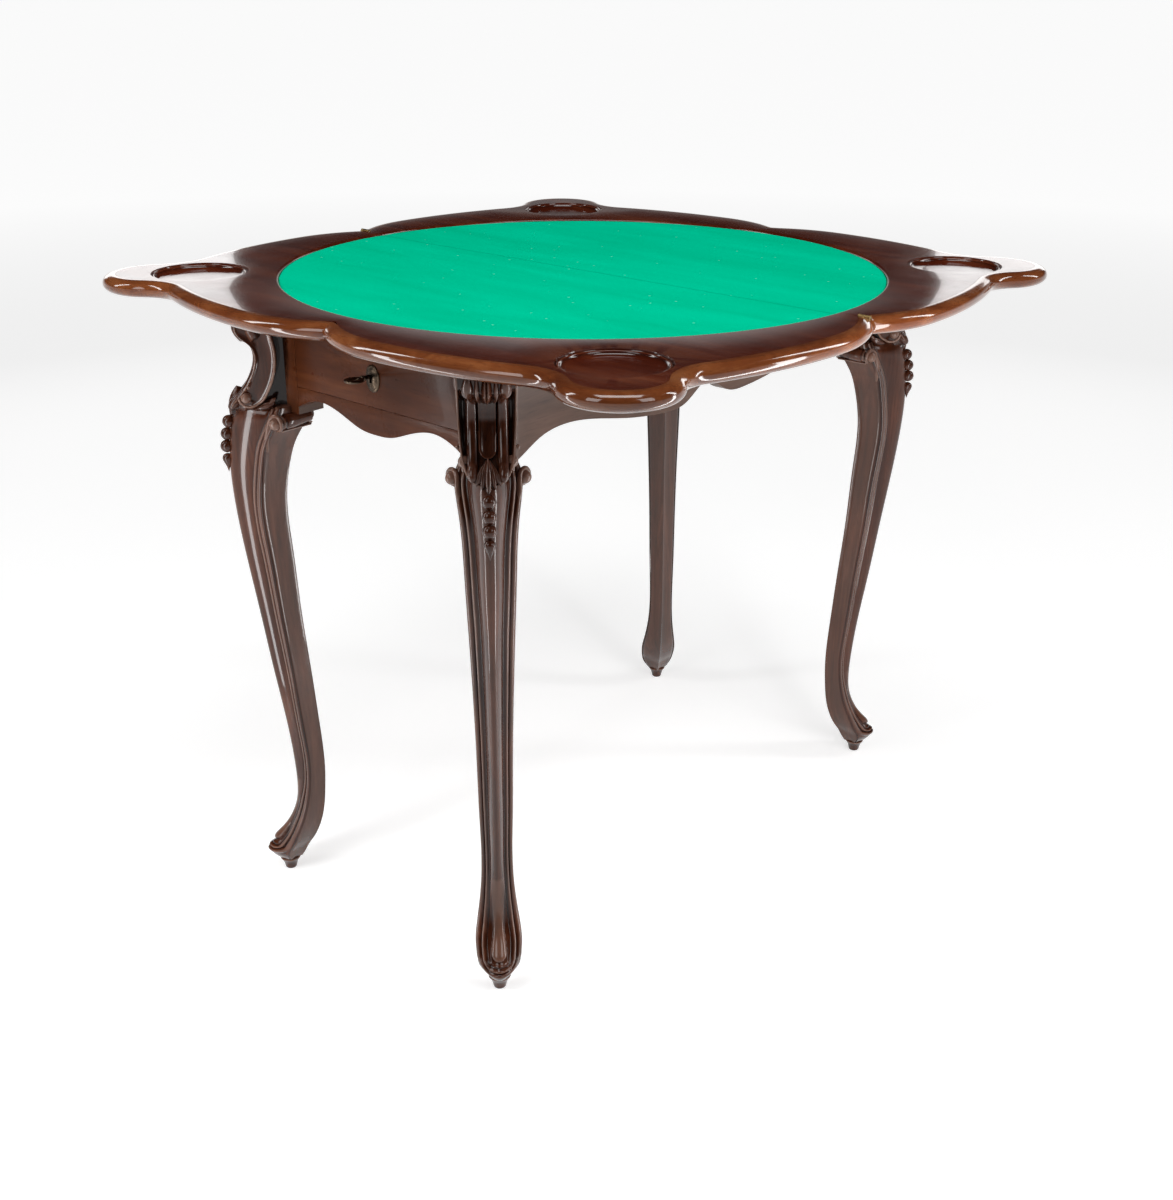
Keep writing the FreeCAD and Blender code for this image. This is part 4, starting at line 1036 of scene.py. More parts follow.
# Carved leaves, all of one form
leafForm = {
    "rows": 12, "columns": 11, "narrowest": 0.03, "sidePower": 0.6, "swell": (0.12, 0.8), "crown": 0.9,
    "veinCount": 3, "veinDepth": 0.35, "underside": 0.8,
    # painted highlight on the crown, painted shade at the edges, in the veins and underneath
    "shade": 0.7, "edgeShade": -0.4, "veinShade": -0.5, "underShade": -0.6,
}


def petal(shape, base, tip, out, width, thick, point=0.0, veins=0.0):
    # a leaf from base to tip, bulging along out
    v = leafForm
    base, tip, out = Vector(base), Vector(tip), Vector(out).normalized()
    along = tip - base
    across = along.cross(out).normalized()
    swellFrom, swellSpan = v["swell"]
    columns = v["columns"]
    rings, shadeRings = [], []
    for share in spread(0.0, 1.0, v["rows"] + 1):
        swing = share * (1 + point) / 2 + (1 - point) / 2 * share ** 2
        half = width / 2 * max(v["narrowest"], math.sin(math.pi * min(1.0, swing))) ** v["sidePower"]
        lift = thick * math.sin(math.pi * (swellFrom + swellSpan * share))
        middle = base + along * share
        ring, shades = [], []
        for place in spread(-1.0, 1.0, columns):
            groove = veins * math.cos(v["veinCount"] * math.pi * place) * (1 - abs(place))
            rise = lift * (domed(place) * v["crown"] - groove * v["veinDepth"])
            ring.append(tuple(middle + across * half * place + out * rise))
            shades.append(v["shade"] * domed(place) + v["edgeShade"] + v["veinShade"] * max(0.0, groove))
        for place in spread(1.0, -1.0, columns):
            ring.append(tuple(middle + across * half * place - out * thick * v["underside"]))
        rings.append(ring)
        shadeRings.append(shades + [v["underShade"]] * columns)
    shape.loft(rings, shadeRings)


def mirroredLeaves(shape, leafRows, side):
    # base, tip and bulge as (outwards, across, up), then width, thickness, point and veins
    for base, tip, out, *sizes in leafRows:
        places = [(s, side * t, z) for s, t, z in (base, tip, out)]
        petal(shape, *places, *sizes)


def frontAt(z):
    return smoothCurve(sorted(legStations), [z])[0][0]


# a lobed leaf between the console's curls, leading into the beads:
# across and height at its root and at its tip, width, thickness, point
kneeLobes = (
    (3.2, 648.0, 12.4, 626.5, 7.5, 4.4, 0.2), (1.8, 651.0, 6.6, 622.5, 7.0, 5.6, 0.3),
    (0.0, 654.0, 0.0, 618.5, 8.6, 7.4, 0.4),
)
kneeLeafPlace = {
    "rootFront": 630.0, "rootSink": 5.0, "tipRise": 1.5, "fan": 0.03, "tilt": 0.3, "veins": 0.35,
}


def kneeLeaf(shape):
    v = kneeLeafPlace
    for startAcross, startHeight, endAcross, endHeight, width, thick, point in kneeLobes:
        for side in ((-1, 1) if endAcross else (1,)):
            base = (frontAt(v["rootFront"]) - v["rootSink"], side * startAcross, startHeight)
            tip = (frontAt(endHeight) + v["tipRise"], side * endAcross, endHeight)
            out = (1.0, side * endAcross * v["fan"], v["tilt"])
            petal(shape, base, tip, out, width, thick, point, v["veins"])


# the square post behind the console, its outer corner cut back; in the frame's own directions
post = {
    "x": 36.0, "y": 46.0, "foot": 627.0, "chamfer": 25.0, "faceX": 367.0, "faceY": 178.0,
    # painted highlight on the post's faces, more on its cut corner
    "faceShade": 0.1, "cutShade": 0.5, "paintFrom": 632.0, "leastFace": 0.0004, "squareFrom": 0.95,
}


def postShape():
    v = post
    shape = Shape()
    x, y, plain, cut = v["faceX"], v["faceY"], v["faceShade"], v["cutShade"]
    outline = [(x - v["x"], y - v["y"], plain), (x, y - v["y"], plain), (x, y - v["chamfer"], cut),
               (x - v["chamfer"], y, cut), (x - v["x"], y, plain)]
    rings = [[(x, y, z) for x, y, shade in outline] for z in (v["foot"], table["frameTop"])]
    shape.loft(rings, [[shade for x, y, shade in outline]] * 2)
    return shape


def paintPost(piece):
    # the post's two faces carry the finish of the boards beside them
    data = piece.data
    for finish in ("endMahogany", "friezeMahogany"):
        data.materials.append(finishes[finish])
    for face in data.polygons:
        if face.center.z > post["paintFrom"] * toMetres and face.area > post["leastFace"]:
            if abs(face.normal.x) > post["squareFrom"]:
                face.material_index = 1
            elif abs(face.normal.y) > post["squareFrom"]:
                face.material_index = 2


def makeLegs():
    carved = Shape()
    carved.loft(*legSurface())
    lathed(carved, pad["profile"], lambda p: (p[0] + pad["offset"], p[1], p[2]), pad["steps"])
    for side in (-1, 1):
        earShape(carved, side)
    kneeLeaf(carved)
    square = postShape()
    cx, cy = table["frameCentre"]
    made = {}
    for name, signs in corners.items():
        placed = carved.placed(lambda point: cornerPoint(point, signs))
        squared = square.placed(lambda point: (signs[0] * point[0] + cx, signs[1] * point[1] + cy, point[2]))
        placed.add(squared.points, squared.faces, squared.paintedShading)
        made[name] = meshObject(name + "Leg", placed, finishes["carvedMahogany"], carvedLeg["smoothAngle"])
        paintPost(made[name])
    return made


legs = makeLegs()
print("legs carved")


# Bead strings down the knees
beads = {
    "heights": (612.0, 597.0, 582.0), "radius": 7.7, "sink": 0.42,
    "dropHeight": 566.5, "dropSize": 6.4, "dropSink": 0.35,
    "steps": 24, "weld": 0.0001, "smoothAngle": 60.0,
}
beadProfile = (
    (0.0, -1.0), (0.34, -0.94), (0.64, -0.77), (0.86, -0.51), (0.98, -0.18), (1.0, 0.0), (0.98, 0.18),
    (0.86, 0.51), (0.64, 0.77), (0.34, 0.94), (0.0, 1.0),
)
dropProfile = (
    (0.0, -2.6), (0.12, -2.2), (0.3, -1.6), (0.62, -0.9), (0.9, -0.35), (1.0, 0.1), (0.92, 0.5),
    (0.66, 0.82), (0.3, 1.0), (0.0, 1.05),
)


def turnedBead(name, profile):
    shape = Shape()
    lathed(shape, [(*point, 0.0) for point in profile], lambda point: point, beads["steps"])
    mesh = bpy.data.meshes.new(name)
    mesh.from_pydata(shape.points, [], shape.faces)
    welded(mesh, beads["weld"])
    return bpy.data.objects.new(name, mesh)


def makeBeads(name, profile, heights, size, sink):
    places, sizes, turns = [], [], []
    for signs in corners.values():
        for z in heights:
            point = cornerPoint((frontAt(z) + size * sink, 0.0, z), signs)
            places.append([c * toMetres for c in point])
            sizes.append(size * toMetres)
            turns.append((0.0, 0.0, math.atan2(signs[1], signs[0])))
    mesh = bpy.data.meshes.new(name + "Places")
    mesh.from_pydata(places, [], [])
    mesh.attributes.new("size", "FLOAT", "POINT").data.foreach_set("value", sizes)
    mesh.attributes.new("turn", "FLOAT_VECTOR", "POINT").data.foreach_set(
        "vector", [c for turn in turns for c in turn])
    holder = addObject(name + "Places", mesh)
    bead = turnedBead(name + "Form", profile)
    inputs = {"Bead": bead, "Finish": finishes["carvedMahogany"]}
    piece = grown(name, holder, beadString, inputs, beads["smoothAngle"])
    bpy.data.objects.remove(holder)
    bpy.data.objects.remove(bead)
    return piece


kneeBeads = makeBeads("kneeBeads", beadProfile, beads["heights"], beads["radius"], beads["sink"])
kneeDrops = makeBeads("kneeDrops", dropProfile, (beads["dropHeight"],), beads["dropSize"], beads["dropSink"])
print("beads strung")


# Consoles above the knees. The knots are height, front and half width; then height and rear rim.
consoleKnots = (
    (626.5, 21.6, 11.5), (631.0, 21.0, 17.5), (637.0, 18.4, 22.2), (643.5, 13.2, 25.0), (651.0, 6.6, 27.0),
    (660.0, 0.0, 28.4), (669.5, -5.4, 29.2), (680.0, -9.8, 29.9), (691.0, -12.2, 30.4), (702.0, -10.8, 30.6),
    (709.5, -6.0, 30.7), (714.5, 0.0, 30.7), (720.0, 5.6, 30.7), (728.0, 8.4, 30.7), (739.6, 9.0, 30.7),
)
rimKnots = (
    (626.5, 9.0), (631.0, 4.0), (634.8, -3.5), (638.0, -10.5), (642.5, -16.5), (648.4, -20.6), (659.0, -26.2),
    (669.5, -30.4), (684.0, -34.0), (701.0, -34.6), (716.0, -32.0), (730.0, -28.0), (739.6, -25.5),
)
console = {
    "foot": 626.6, "columns": 71, "fineRows": 52, "fineStep": 0.8, "rows": 60, "rowsFrom": 1.0,
    "topGap": 0.1, "smoothAngle": 55.0, "sideInset": 0.6, "backEdge": (1.0, 2.4),
    "neck": 11.5, "neckShare": 0.6, "depth": -66.0, "filletWidth": 2.2, "filletRise": 0.8,
    "ground": -1.2, "coveDepth": 6.5, "covePart": 0.9, "coveFoot": 0.4, "leastCove": 2.0,
    "ribMiddle": 15.6, "ribHalf": 5.6, "ribRise": 5.2, "ribSink": 0.4, "ribFoot": 640.0, "ribFade": 6.0,
    "tongueHalf": 9.3, "tongueFoot": 650.5, "tongueGap": 0.5, "tongueRise": 4.6, "tongueCrown": 0.9,
    "rimRise": 1.2, "rimInset": 0.9, "rimWidth": 0.8, "capFoot": 716.0, "capFade": 7.0,
    "leastDepth": 4.0, "sideHollow": 4.0, "hollowPower": 0.7, "fullDepth": 20.0,
    "sideShares": (0.08, 0.2, 0.35, 0.5, 0.65, 0.8, 0.92, 1.0),
    "oval": (16.6, 15.7, 639.3), "ovalSize": (7.0, 5.6, 9.4), "ovalLean": 0.55,
    "eye": (2.6, 24.2, 646.2), "eyeRadius": 6.5, "knob": (-2.0, 30.6, 660.0), "knobSize": (2.0, 2.0, 2.4),
    "eggSteps": (13, 26), "rimRadius": 1.6, "rimFoot": 638.4, "rimSteps": 60, "rimSides": 10,
    "rimPlace": (0.8, -0.9), "scrollSteps": 16,
    "scroll": ((-6.0, 636.4), (-1.0, 635.6), (4.5, 637.0), (8.8, 640.6), (10.6, 645.6)),
}
# painted shading of each carved form, painted shade below 0 and painted highlight above 0; where there are two,
# on its crest and at its foot
consoleShades = {
    "fillet": 0.9, "ground": -0.9, "tongue": (0.9, -0.5), "rib": (0.45, -0.5), "cove": -0.95, "cap": -0.5,
    "side": -0.35, "sideBack": 0.3, "neck": -1.0, "oval": 0.15, "eye": 0.7, "rim": 0.9, "knob": 0.6,
}
# a small leaf behind the rim's foot
rimLeaves = (
    ((-10.0, 24.5, 633.0), (-29.0, 25.5, 641.0), (0.3, 0.8, 0.6), 8.0, 3.6, 0.2, 0.8),
    ((-22.0, 25.5, 638.0), (-31.0, 24.5, 646.0), (-0.2, 0.9, 0.3), 5.4, 3.0),
)
# drooping lobes under the top on each side, and a pointed leaf in the middle
capitalSides = (
    ((3.0, 18.6, 743.0), (2.0, 19.2, 711.0), (1.0, 0, -0.05), 14.5, 12.5, -0.5),
    ((4.0, 9.8, 743.0), (0.5, 9.4, 708.0), (1.0, 0, -0.05), 7.0, 11.0),
    ((-10.0, 25.5, 743.0), (-10.0, 26.0, 712.5), (0.7, 0.7, 0), 15.0, 9.0, -0.5),
)
capitalMiddle = (((4.0, 0.0, 743.0), (0.0, 0.0, 705.5), (1.0, 0, -0.05), 13.0, 14.0, 0.3, 0.5),)


def consoleRelief(t, z, half, lean):
    v, shades = console, consoleShades
    distance = (half - abs(t)) * lean
    away = abs(t)
    if distance < v["filletWidth"]:
        lift = domed(2 * max(0.0, distance) / v["filletWidth"] - 1)
        return v["filletRise"] * lift, shades["fillet"]
    fade = eased((z - v["capFoot"]) / v["capFade"])
    ribLow, ribHigh = v["ribMiddle"] - v["ribHalf"], v["ribMiddle"] + v["ribHalf"]
    tongue = v["tongueHalf"]
    rise, shade = v["ground"], shades["ground"]
    if away < tongue and z > v["tongueFoot"] - v["tongueGap"]:
        end = math.hypot(away, max(0.0, v["tongueFoot"] + tongue - z))
        inside = tongue - end
        if inside > 0:
            rim = math.exp(-((inside - v["rimInset"]) / v["rimWidth"]) ** 2)
            rise = v["tongueRise"] * domed(end / tongue * v["tongueCrown"]) + v["rimRise"] * rim
            shade = shades["tongue"][0] * rim + shades["tongue"][1]
    elif ribLow <= away <= ribHigh and z > v["ribFoot"]:
        lift = domed((away - v["ribMiddle"]) / v["ribHalf"]) * eased((z - v["ribFoot"]) / v["ribFade"])
        rise = v["ribRise"] * lift - v["ribSink"]
        shade = shades["rib"][0] * lift + shades["rib"][1]
    elif away > ribHigh or z <= v["ribFoot"]:
        span = half * lean - v["filletWidth"] - (ribHigh if z > v["ribFoot"] else 0.0) * lean
        share = (distance - v["filletWidth"]) / max(v["leastCove"], span)
        deep = math.sin(math.pi * min(1.0, max(0.0, share)) * v["covePart"])
        deep *= 1.0 if z > v["ribFoot"] + v["ribFade"] else v["coveFoot"]
        rise, shade = -v["coveDepth"] * deep, shades["cove"] * deep
    return rise * (1 - fade), shade * (1 - fade) + shades["cap"] * fade


def consoleRing(z, front, half, lean, rear):
    v, shades = console, consoleShades
    ring = []
    for t in spread(-half, half, v["columns"]):
        rise, shade = consoleRelief(t, z, half, lean)
        ring.append((front + rise, t, shade))
    back = min(rear, front - v["leastDepth"])
    hollow = v["sideHollow"] * min(1.0, (front - back) / v["fullDepth"])
    sides = []
    for share in v["sideShares"]:
        arch = math.sin(math.pi * share)
        t = half - hollow * arch ** v["hollowPower"] - v["sideInset"]
        sides.append((front + (back - front) * share, t, shades["side"] * arch))
    behind, inset = v["backEdge"]
    neck = min(v["neck"], half * v["neckShare"])
    sides += [(back - behind, half - inset, shades["sideBack"]), (back, neck, shades["neck"]),
              (v["depth"], neck, shades["neck"])]
    ring += sides + [(s, -t, shade) for s, t, shade in reversed(sides)]
    return [(s, t, z) for s, t, shade in ring], [shade for s, t, shade in ring]


def consoleShape():
    v = console
    shape = Shape()
    low = [v["foot"] + index * v["fineStep"] for index in range(v["fineRows"])]
    heights = low + spread(low[-1] + v["rowsFrom"], table["frameTop"] - v["topGap"], v["rows"])
    fronts = smoothCurve(consoleKnots, heights)
    rears = smoothCurve(rimKnots, heights)
    rings, paintedShadingRows = [], []
    for index, (z, (front, half), (rear,)) in enumerate(zip(heights, fronts, rears)):
        after = min(index + 1, len(heights) - 1)
        before = max(index - 1, 0)
        slope = (fronts[after][1] - fronts[before][1]) / (heights[after] - heights[before])
        ring, shades = consoleRing(z, front, half, 1 / math.hypot(1.0, slope), rear)
        rings.append(ring)
        paintedShadingRows.append(shades)
    shape.loft(rings, paintedShadingRows)
    for side in (-1, 1):
        consoleCurls(shape, side)
    for side in (-1, 1):
        mirroredLeaves(shape, capitalSides, side)
    mirroredLeaves(shape, capitalMiddle, 1)
    return shape


def egg(shape, middle, size, lean, shade):
    rows, steps = console["eggSteps"]
    profile = [(math.sin(angle), -math.cos(angle), shade) for angle in spread(0.0, math.pi, rows)]

    def place(p):
        return (middle[0] + size[0] * p[0] - lean * p[2] * size[2], middle[1] + size[1] * p[1],
                middle[2] + size[2] * p[2])
    lathed(shape, profile, place, steps)


def consoleCurls(shape, side):
    # the long curl in front, the round eye on the side and the rim that winds round it
    v, shades = console, consoleShades

    def mirrored(point):
        return (point[0], side * point[1], point[2])
    egg(shape, mirrored(v["oval"]), v["ovalSize"], v["ovalLean"], shades["oval"])
    egg(shape, mirrored(v["eye"]), (v["eyeRadius"],) * 3, 0.0, shades["eye"])
    heights = spread(table["frameTop"] - 1.0, v["rimFoot"], v["rimSteps"])
    halves = [row[1] for row in smoothCurve(consoleKnots, heights)]
    rears = [row[0] for row in smoothCurve(rimKnots, heights)]
    ahead, aside = v["rimPlace"]
    path = [(rear + ahead, side * (half + aside), height) for rear, half, height in zip(rears, halves, heights)]
    path += [(a, side * (v["eye"][1] + ahead), b) for a, b in bentPath(v["scroll"], v["scrollSteps"])]
    tube(shape, path, [v["rimRadius"]] * len(path), v["rimSides"], shades["rim"])
    mirroredLeaves(shape, rimLeaves, side)
    egg(shape, mirrored(v["knob"]), v["knobSize"], 0.0, shades["knob"])


def makeConsoles():
    local = consoleShape()
    local.points = [(x, y, min(z, table["frameTop"])) for x, y, z in local.points]
    made = {}
    for name, signs in corners.items():
        placed = local.placed(lambda point: cornerPoint(point, signs))
        made[name] = meshObject(name + "Console", placed, finishes["carvedMahogany"], console["smoothAngle"])
    return made


consoles = makeConsoles()
print("consoles carved")


# Lock plate and key
lockPlate = {
    "x": -357.0, "y": -11.0, "keyZ": 696.0, "plateZ": 693.0, "width": 22.0, "height": 31.0, "rise": 3.5,
    "steps": 48, "holeRadius": 3.0, "slotFrom": -0.3, "slotHalf": 1.8, "slotCorner": 2.2, "slotLength": 9.5,
    # painted shading round the keyhole: painted highlight on its edge, painted shade inside
    "holeShade": 0.3, "deepShade": -1.0, "smoothAngle": 50.0,
}
# shares of the plate's size and rise, and painted shading, from the rim inwards
plateShares = (
    (1.0, 0.0, 0.1), (1.0, 0.18, 0.1), (0.97, 0.32, 0.9), (0.9, 0.5, 0.9), (0.84, 0.58, 0.1), (0.8, 0.55, -0.6),
    (0.76, 0.6, 0.1), (0.6, 0.82, 0.1), (0.42, 0.95, 0.1), (0.3, 1.0, 0.1),
)


def makePlate():
    v = lockPlate
    shape = Shape()
    rounds = circle(v["steps"])
    rings = [[(v["x"] - v["rise"] * rise, v["y"] + v["width"] / 2 * share * c,
               v["plateZ"] + v["height"] / 2 * share * s) for c, s in rounds]
             for share, rise, shade in plateShares]
    # the middle runs into the keyhole's edge, a round over a slot
    edge = []
    middle = v["keyZ"] - v["plateZ"]
    for c, s in rounds:
        across, up = v["holeRadius"] * c, middle + v["holeRadius"] * s
        if s < v["slotFrom"]:
            across = v["slotHalf"] * (1 if c > 0 else -1) * min(1.0, abs(c) * v["slotCorner"])
            up = middle - v["holeRadius"] + v["slotLength"] * (s - v["slotFrom"]) / (1 + v["slotFrom"])
        edge.append((v["x"] - v["rise"], v["y"] + across, v["plateZ"] + up))
    rings += [edge, [(v["x"], y, z) for x, y, z in edge]]
    shades = [shade for share, rise, shade in plateShares] + [v["holeShade"], v["deepShade"]]
    shape.loft(rings, [[shade] * v["steps"] for shade in shades], caps=False)
    # flat back, between the rim and the hole
    shape.loft([rings[-1], rings[0]], [[v["deepShade"]] * v["steps"], [0.0] * v["steps"]], caps=False)
    return meshObject("lockPlate", shape, finishes["darkBronze"], v["smoothAngle"])


keyForm = {
    "steps": 28, "bowFace": -373.5, "bowLap": 0.8, "bowLength": 22.0, "bowWidth": 22.0, "bowThick": 3.2,
    # the bow's outer edge carries painted highlight, the rest of it none
    "bowSteps": 56, "rimSteps": 14, "rimFlat": (0.6, 0.7), "rimShades": (0.8, 0.05), "rimFrom": 0.85,
    "slotLength": 13.0, "slotWidth": 5.6, "slotPower": 0.8,
    "bitX": (-349.7, -345.9), "bitY": (1.0, 10.8), "bitHalf": 1.4, "smoothAngle": 50.0,
}
# collars and shank: radius, way along from the bow's face, painted shading
shankProfile = (
    (0.0, 0.5, 0.1), (2.6, 0.5, 0.4), (3.2, 0.0, 0.7), (3.4, -0.9, 0.7), (2.9, -1.7, 0.1), (2.4, -2.0, -0.8),
    (2.9, -2.5, 0.5), (3.1, -3.2, 0.6), (2.6, -3.9, 0.1), (2.3, -4.2, -0.4), (2.3, -9.0, 0.0), (2.6, -9.3, 0.5),
    (2.6, -10.3, 0.5), (2.3, -10.6, -0.3), (2.3, -25.6, 0.0), (1.9, -26.1, 0.0), (0.0, -26.2, 0.0),
)
boxFaces = ((0, 1, 2, 3), (7, 6, 5, 4), (0, 4, 5, 1), (1, 5, 6, 2), (2, 6, 7, 3), (3, 7, 4, 0))


def powered(value, power):
    return math.copysign(abs(value) ** power, value)


def makeKey():
    v = keyForm
    y0, z0 = lockPlate["y"], lockPlate["keyZ"]
    shape = Shape()
    lathed(shape, shankProfile, lambda p: (v["bowFace"] - p[2], y0 + p[0], z0 + p[1]), v["steps"])
    # flat oval bow with a slot along the shank, its edges rounded
    cx = v["bowFace"] - v["bowLength"] / 2 + v["bowLap"]
    flatPower, roundPower = v["rimFlat"]
    bright, plain = v["rimShades"]
    rim = circle(v["rimSteps"])
    rings = []
    for c, s in circle(v["bowSteps"]):
        ox, oy = v["bowLength"] / 2 * c, v["bowWidth"] / 2 * s
        ix = v["slotLength"] / 2 * powered(c, v["slotPower"])
        iy = v["slotWidth"] / 2 * powered(s, v["slotPower"])
        ring = []
        for a, b in rim:
            share = 0.5 + 0.5 * powered(a, flatPower)
            ring.append((cx + ix + (ox - ix) * share, y0 + iy + (oy - iy) * share,
                         z0 + v["bowThick"] / 2 * powered(b, roundPower)))
        rings.append(ring)
    rings.append(rings[0])
    rimShades = [bright if abs(a) > v["rimFrom"] else plain for a, b in rim]
    shape.loft(rings, [rimShades] * len(rings), caps=False)
    near, far, half = *v["bitY"], v["bitHalf"]
    corner = ((near, -half), (far, -half), (far, half), (near, half))
    shape.add([(x, y0 + y, z0 + z) for x in v["bitX"] for y, z in corner], boxFaces)
    return meshObject("lockKey", shape, finishes["darkBronze"], v["smoothAngle"])


plate = makePlate()
keyPiece = makeKey()
print("lock plate and key made")


# Frieze boards and drawer front, their edges eased
boards = {
    "front_frieze": ("frontFriezeBoard", "friezeMahogany"),
    "back_frieze": ("backFriezeBoard", "friezeMahogany"),
    "far_end_frieze": ("farEndBoard", "endMahogany"),
    "drawer_apron": ("apronBoard", "endMahogany"),
    "drawer_top_rail": ("topRailBoard", "endMahogany"),
    "drawer_front": ("drawerFrontBoard", "endMahogany"),
}
boardEdges = {"ease": 0.5, "steps": 2, "roundness": 0.6, "sharpFrom": 35.0, "flatWithin": 0.5}


def easedBoard(node, name, finish):
    # a welded copy of the CAD node, its sharp edges rounded
    v = boardEdges
    source = frame["nodes"][node]
    mesh = source.data.copy()
    mesh.name = name
    mesh.transform(source.matrix_world)
    mesh.materials.clear()
    work = bmesh.new()
    work.from_mesh(mesh)
    bmesh.ops.remove_doubles(work, verts=work.verts, dist=weldDistance)
    bmesh.ops.dissolve_limit(work, angle_limit=math.radians(v["flatWithin"]),
                             verts=work.verts, edges=work.edges)
    sharp = [edge for edge in work.edges
             if len(edge.link_faces) == 2 and edge.calc_face_angle() > math.radians(v["sharpFrom"])]
    bmesh.ops.bevel(work, geom=sharp, offset=v["ease"] * toMetres, segments=v["steps"],
                    profile=v["roundness"], affect="EDGES", clamp_overlap=True)
    bmesh.ops.triangulate(work, faces=[face for face in work.faces if len(face.verts) > 4])
    work.to_mesh(mesh)
    work.free()
    mesh.materials.append(finish)
    shaded(mesh, v["sharpFrom"])
    return addObject(name, mesh)


boardPieces = {node: easedBoard(node, name, finishes[finish]) for node, (name, finish) in boards.items()}
print("boards eased")


# What rides on what, and what each piece stands for
def settle(piece, body, node):
    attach(piece, body)
    if node:
        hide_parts(node)


for name in corners:
    settle(legs[name], "frame", cornerNodes[name] + "_leg")
    settle(consoles[name], "frame", cornerNodes[name] + "_console")
settle(kneeBeads, "frame", None)
settle(kneeDrops, "frame", None)
for node, piece in boardPieces.items():
    settle(piece, "drawer" if node == "drawer_front" else "frame", node)
for name in leaves:
    body = name + "_leaf"
    settle(panels[name], body, body + "_panel")
    settle(mouldings[name], body, body + "_moulding")
    settle(cloths[name], body, body + "_cloth")
settle(plate, "drawer", "escutcheon")
settle(keyPiece, "key", "key")

slotFinishes = {
    "polished_mahogany": "carvedMahogany", "polished_top": "topMahogany",
    "polished_moulding": "edgeMahogany", "cloth": "greenBaize", "plain_hardwood": "plainHardwood",
    "brass": "agedBrass", "dark_brass": "darkBronze", "steel": "dullSteel",
}
for part in frame["record"]["subparts"]:
    node = frame["nodes"][part["node"]]
    node.data.materials.clear()
    node.data.materials.append(finishes[slotFinishes[part["material_slot"]]])
print("pieces settled")


# Studio: white paper, soft lamps, and the camera where the photograph was taken
studio = {
    "floorSize": 40.0, "floorColour": 0.70, "glowNear": 0.56, "glowFar": 0.86, "glowReach": (1.0, 6.0),
    "worldFill": 0.14, "paperTop": (-0.04, 0.19), "ceiling": 0.01, "paperRoughness": 0.9, "paperSheen": 0.1,
}


def rayKinds(tree):
    rays = addNode(tree, "ShaderNodeLightPath")
    seen = addNode(tree, "ShaderNodeMath", operation="MAXIMUM")
    tree.links.new(rays.outputs["Is Camera Ray"], seen.inputs[0])
    tree.links.new(rays.outputs["Is Transmission Ray"], seen.inputs[1])
    return seen.outputs[0], rays.outputs["Is Glossy Ray"]


def chosen(tree, factor, first, second):
    mix = addNode(tree, "ShaderNodeMix", data_type="FLOAT")
    tree.links.new(factor, mix.inputs[0])
    for socket, value in ((mix.inputs[2], first), (mix.inputs[3], second)):
        if isinstance(value, float):
            socket.default_value = value
        else:
            tree.links.new(value, socket)
    return mix.outputs[0]


def studioFloor():
    size = studio["floorSize"]
    square = [(-size, -size, 0), (size, -size, 0), (size, size, 0), (-size, size, 0)]
    mesh = bpy.data.meshes.new("studioFloor")
    mesh.from_pydata(square, [], [(0, 1, 2, 3)])
    floor = addObject("studioFloor", mesh)
    paint = bpy.data.materials.new("studioPaper")
    paint.use_nodes = True
    tree = paint.node_tree
    shader = tree.nodes["Principled BSDF"]
    grey = studio["floorColour"]
    setInputs(shader, {"Base Color": (grey, grey, grey, 1), "Roughness": studio["paperRoughness"],
                       "Specular IOR Level": studio["paperSheen"], "Emission Color": (1, 1, 1, 1)})
    seen, glossy = rayKinds(tree)
    # the paper reads as white to the camera and in reflections, also where less light reaches it
    where = addNode(tree, "ShaderNodeTexCoord")
    reach = addNode(tree, "ShaderNodeVectorMath", operation="LENGTH")
    tree.links.new(where.outputs["Object"], reach.inputs[0])
    glow = ranged(tree, reach.outputs["Value"], studio["glowNear"], studio["glowFar"], *studio["glowReach"])
    lit = chosen(tree, seen, chosen(tree, glossy, 0.0, glow), glow)
    tree.links.new(lit, shader.inputs["Emission Strength"])
    mesh.materials.append(paint)


def studioWorld():
    # white paper up to a low height all round, a dark room above it; the camera sees only paper
    world = bpy.data.worlds.new("studioAir")
    bpy.context.scene.world = world
    world.use_nodes = True
    tree = world.node_tree
    tree.nodes.clear()
    out = addNode(tree, "ShaderNodeOutputWorld")
    air = addNode(tree, "ShaderNodeBackground")
    setInputs(air, {"Color": (1, 1, 1, 1)})
    where = addNode(tree, "ShaderNodeTexCoord")
    axes = addNode(tree, "ShaderNodeSeparateXYZ")
    tree.links.new(where.outputs["Generated"], axes.inputs[0])
    low, high = studio["paperTop"]
    paper = ranged(tree, axes.outputs["Z"], 1.0, studio["ceiling"], low, high)
    seen, glossy = rayKinds(tree)
    level = chosen(tree, seen, chosen(tree, glossy, studio["worldFill"], paper), 1.0)
    tree.links.new(level, air.inputs["Strength"])
    tree.links.new(air.outputs[0], out.inputs["Surface"])


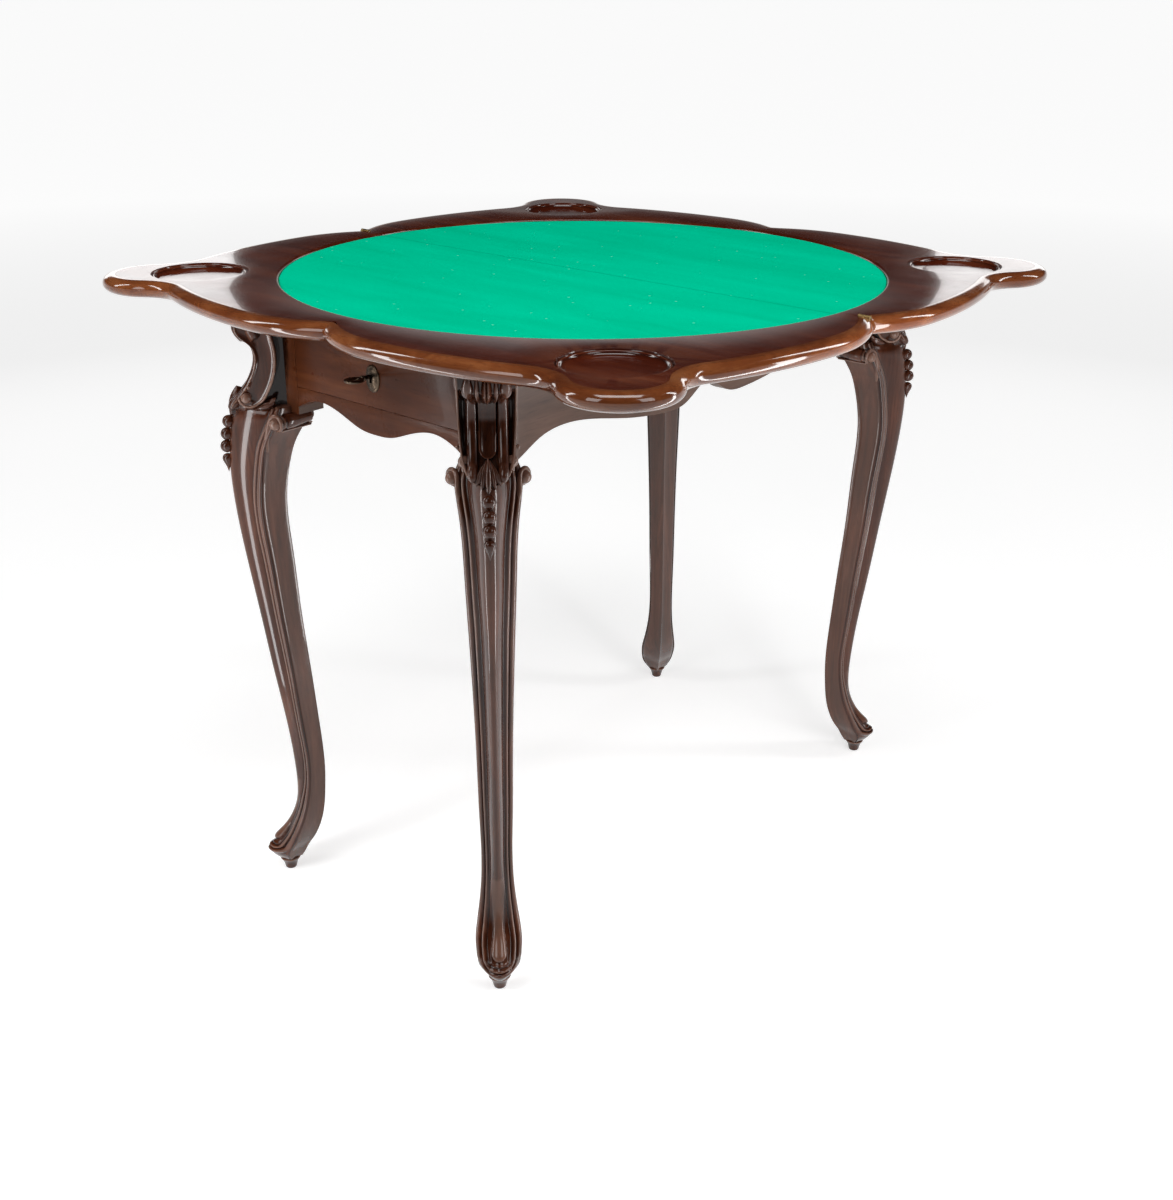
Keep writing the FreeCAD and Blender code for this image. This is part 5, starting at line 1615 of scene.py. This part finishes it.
# The first three lamps stand where their reflections run along the top's edge as bright streaks.
lamps = {
    "leftStrip": {"place": (-1.25, 1.25, 1.75), "size": (0.22, 1.1), "power": 8.5, "aim": 0.55},
    "rightStrip": {"place": (1.35, -1.25, 1.75), "size": (0.22, 1.1), "power": 8.5, "aim": 0.55},
    "overheadBox": {"place": (-0.35, -0.35, 2.7), "size": (1.5, 0.80), "power": 23.0, "aim": 0.7},
    # tall narrow strips beside the camera run lines of light down the legs
    "lowLeft": {"place": (-0.80, 0.20, 0.42), "size": (0.07, 0.80), "power": 1.9, "aim": 0.42},
    "lowRight": {"place": (0.00, -0.68, 0.42), "size": (0.10, 0.80), "power": 3.2, "aim": 0.42},
    # large soft boxes either side of the camera give the ribs, the beads and the edge their broad lights
    "nearLeft": {"place": (-2.10, -0.10, 1.90), "size": (0.80, 1.20), "power": 12.0, "aim": 0.60},
    "nearRight": {"place": (-0.25, -2.00, 1.90), "size": (0.80, 1.20), "power": 12.0, "aim": 0.60},
    # large dim cards behind the table, whose reflections whiten the polish at its left and right
    "leftCard": {"place": (0.80, 2.73, 1.20), "size": (1.15, 0.5), "power": 3.8, "aim": 0.8},
    "rightCard": {"place": (2.85, 0.52, 1.20), "size": (1.0, 0.5), "power": 3.2, "aim": 0.8},
}


def studioLamps():
    for name, values in lamps.items():
        light = bpy.data.lights.new(name, "AREA")
        light.shape = "RECTANGLE"
        light.size, light.size_y = values["size"]
        light.energy = values["power"]
        lamp = addObject(name, light)
        place = Vector(values["place"])
        lamp.matrix_world = Matrix.Translation(place) @ (
            (Vector((0, 0, values["aim"])) - place).to_track_quat("-Z", "Y").to_matrix().to_4x4())
        lamp.visible_camera = False


viewpoint = {
    "place": (-1.42535, -1.25131, 1.12377), "yaw": 0.853453571, "pitch": -0.402967683,
    "roll": 0.00381123876, "focal": 1531.26085, "imageHeight": 1200.0, "filmHeight": 36.0, "nearest": 0.05,
}


def studioCamera():
    v = viewpoint
    lens = bpy.data.cameras.new("studioCamera")
    lens.sensor_fit = "VERTICAL"
    lens.sensor_height = v["filmHeight"]
    lens.lens = v["focal"] * v["filmHeight"] / v["imageHeight"]
    lens.clip_start = v["nearest"]
    camera = addObject("studioCamera", lens)
    yaw, pitch, roll = v["yaw"], v["pitch"], v["roll"]
    ahead = Vector((math.sin(yaw) * math.cos(pitch), math.cos(yaw) * math.cos(pitch), math.sin(pitch)))
    right = Vector((math.cos(yaw), -math.sin(yaw), 0))
    up = right.cross(ahead)
    leaned = right * math.cos(roll) + up * math.sin(roll)
    raised = up * math.cos(roll) - right * math.sin(roll)
    turn = Matrix((leaned, raised, -ahead)).transposed()
    camera.matrix_world = Matrix.Translation(Vector(v["place"])) @ turn.to_4x4()
    bpy.context.scene.camera = camera


studioFloor()
studioWorld()
studioLamps()
studioCamera()
bpy.context.scene.view_settings.view_transform = "Standard"
print("studio lit")
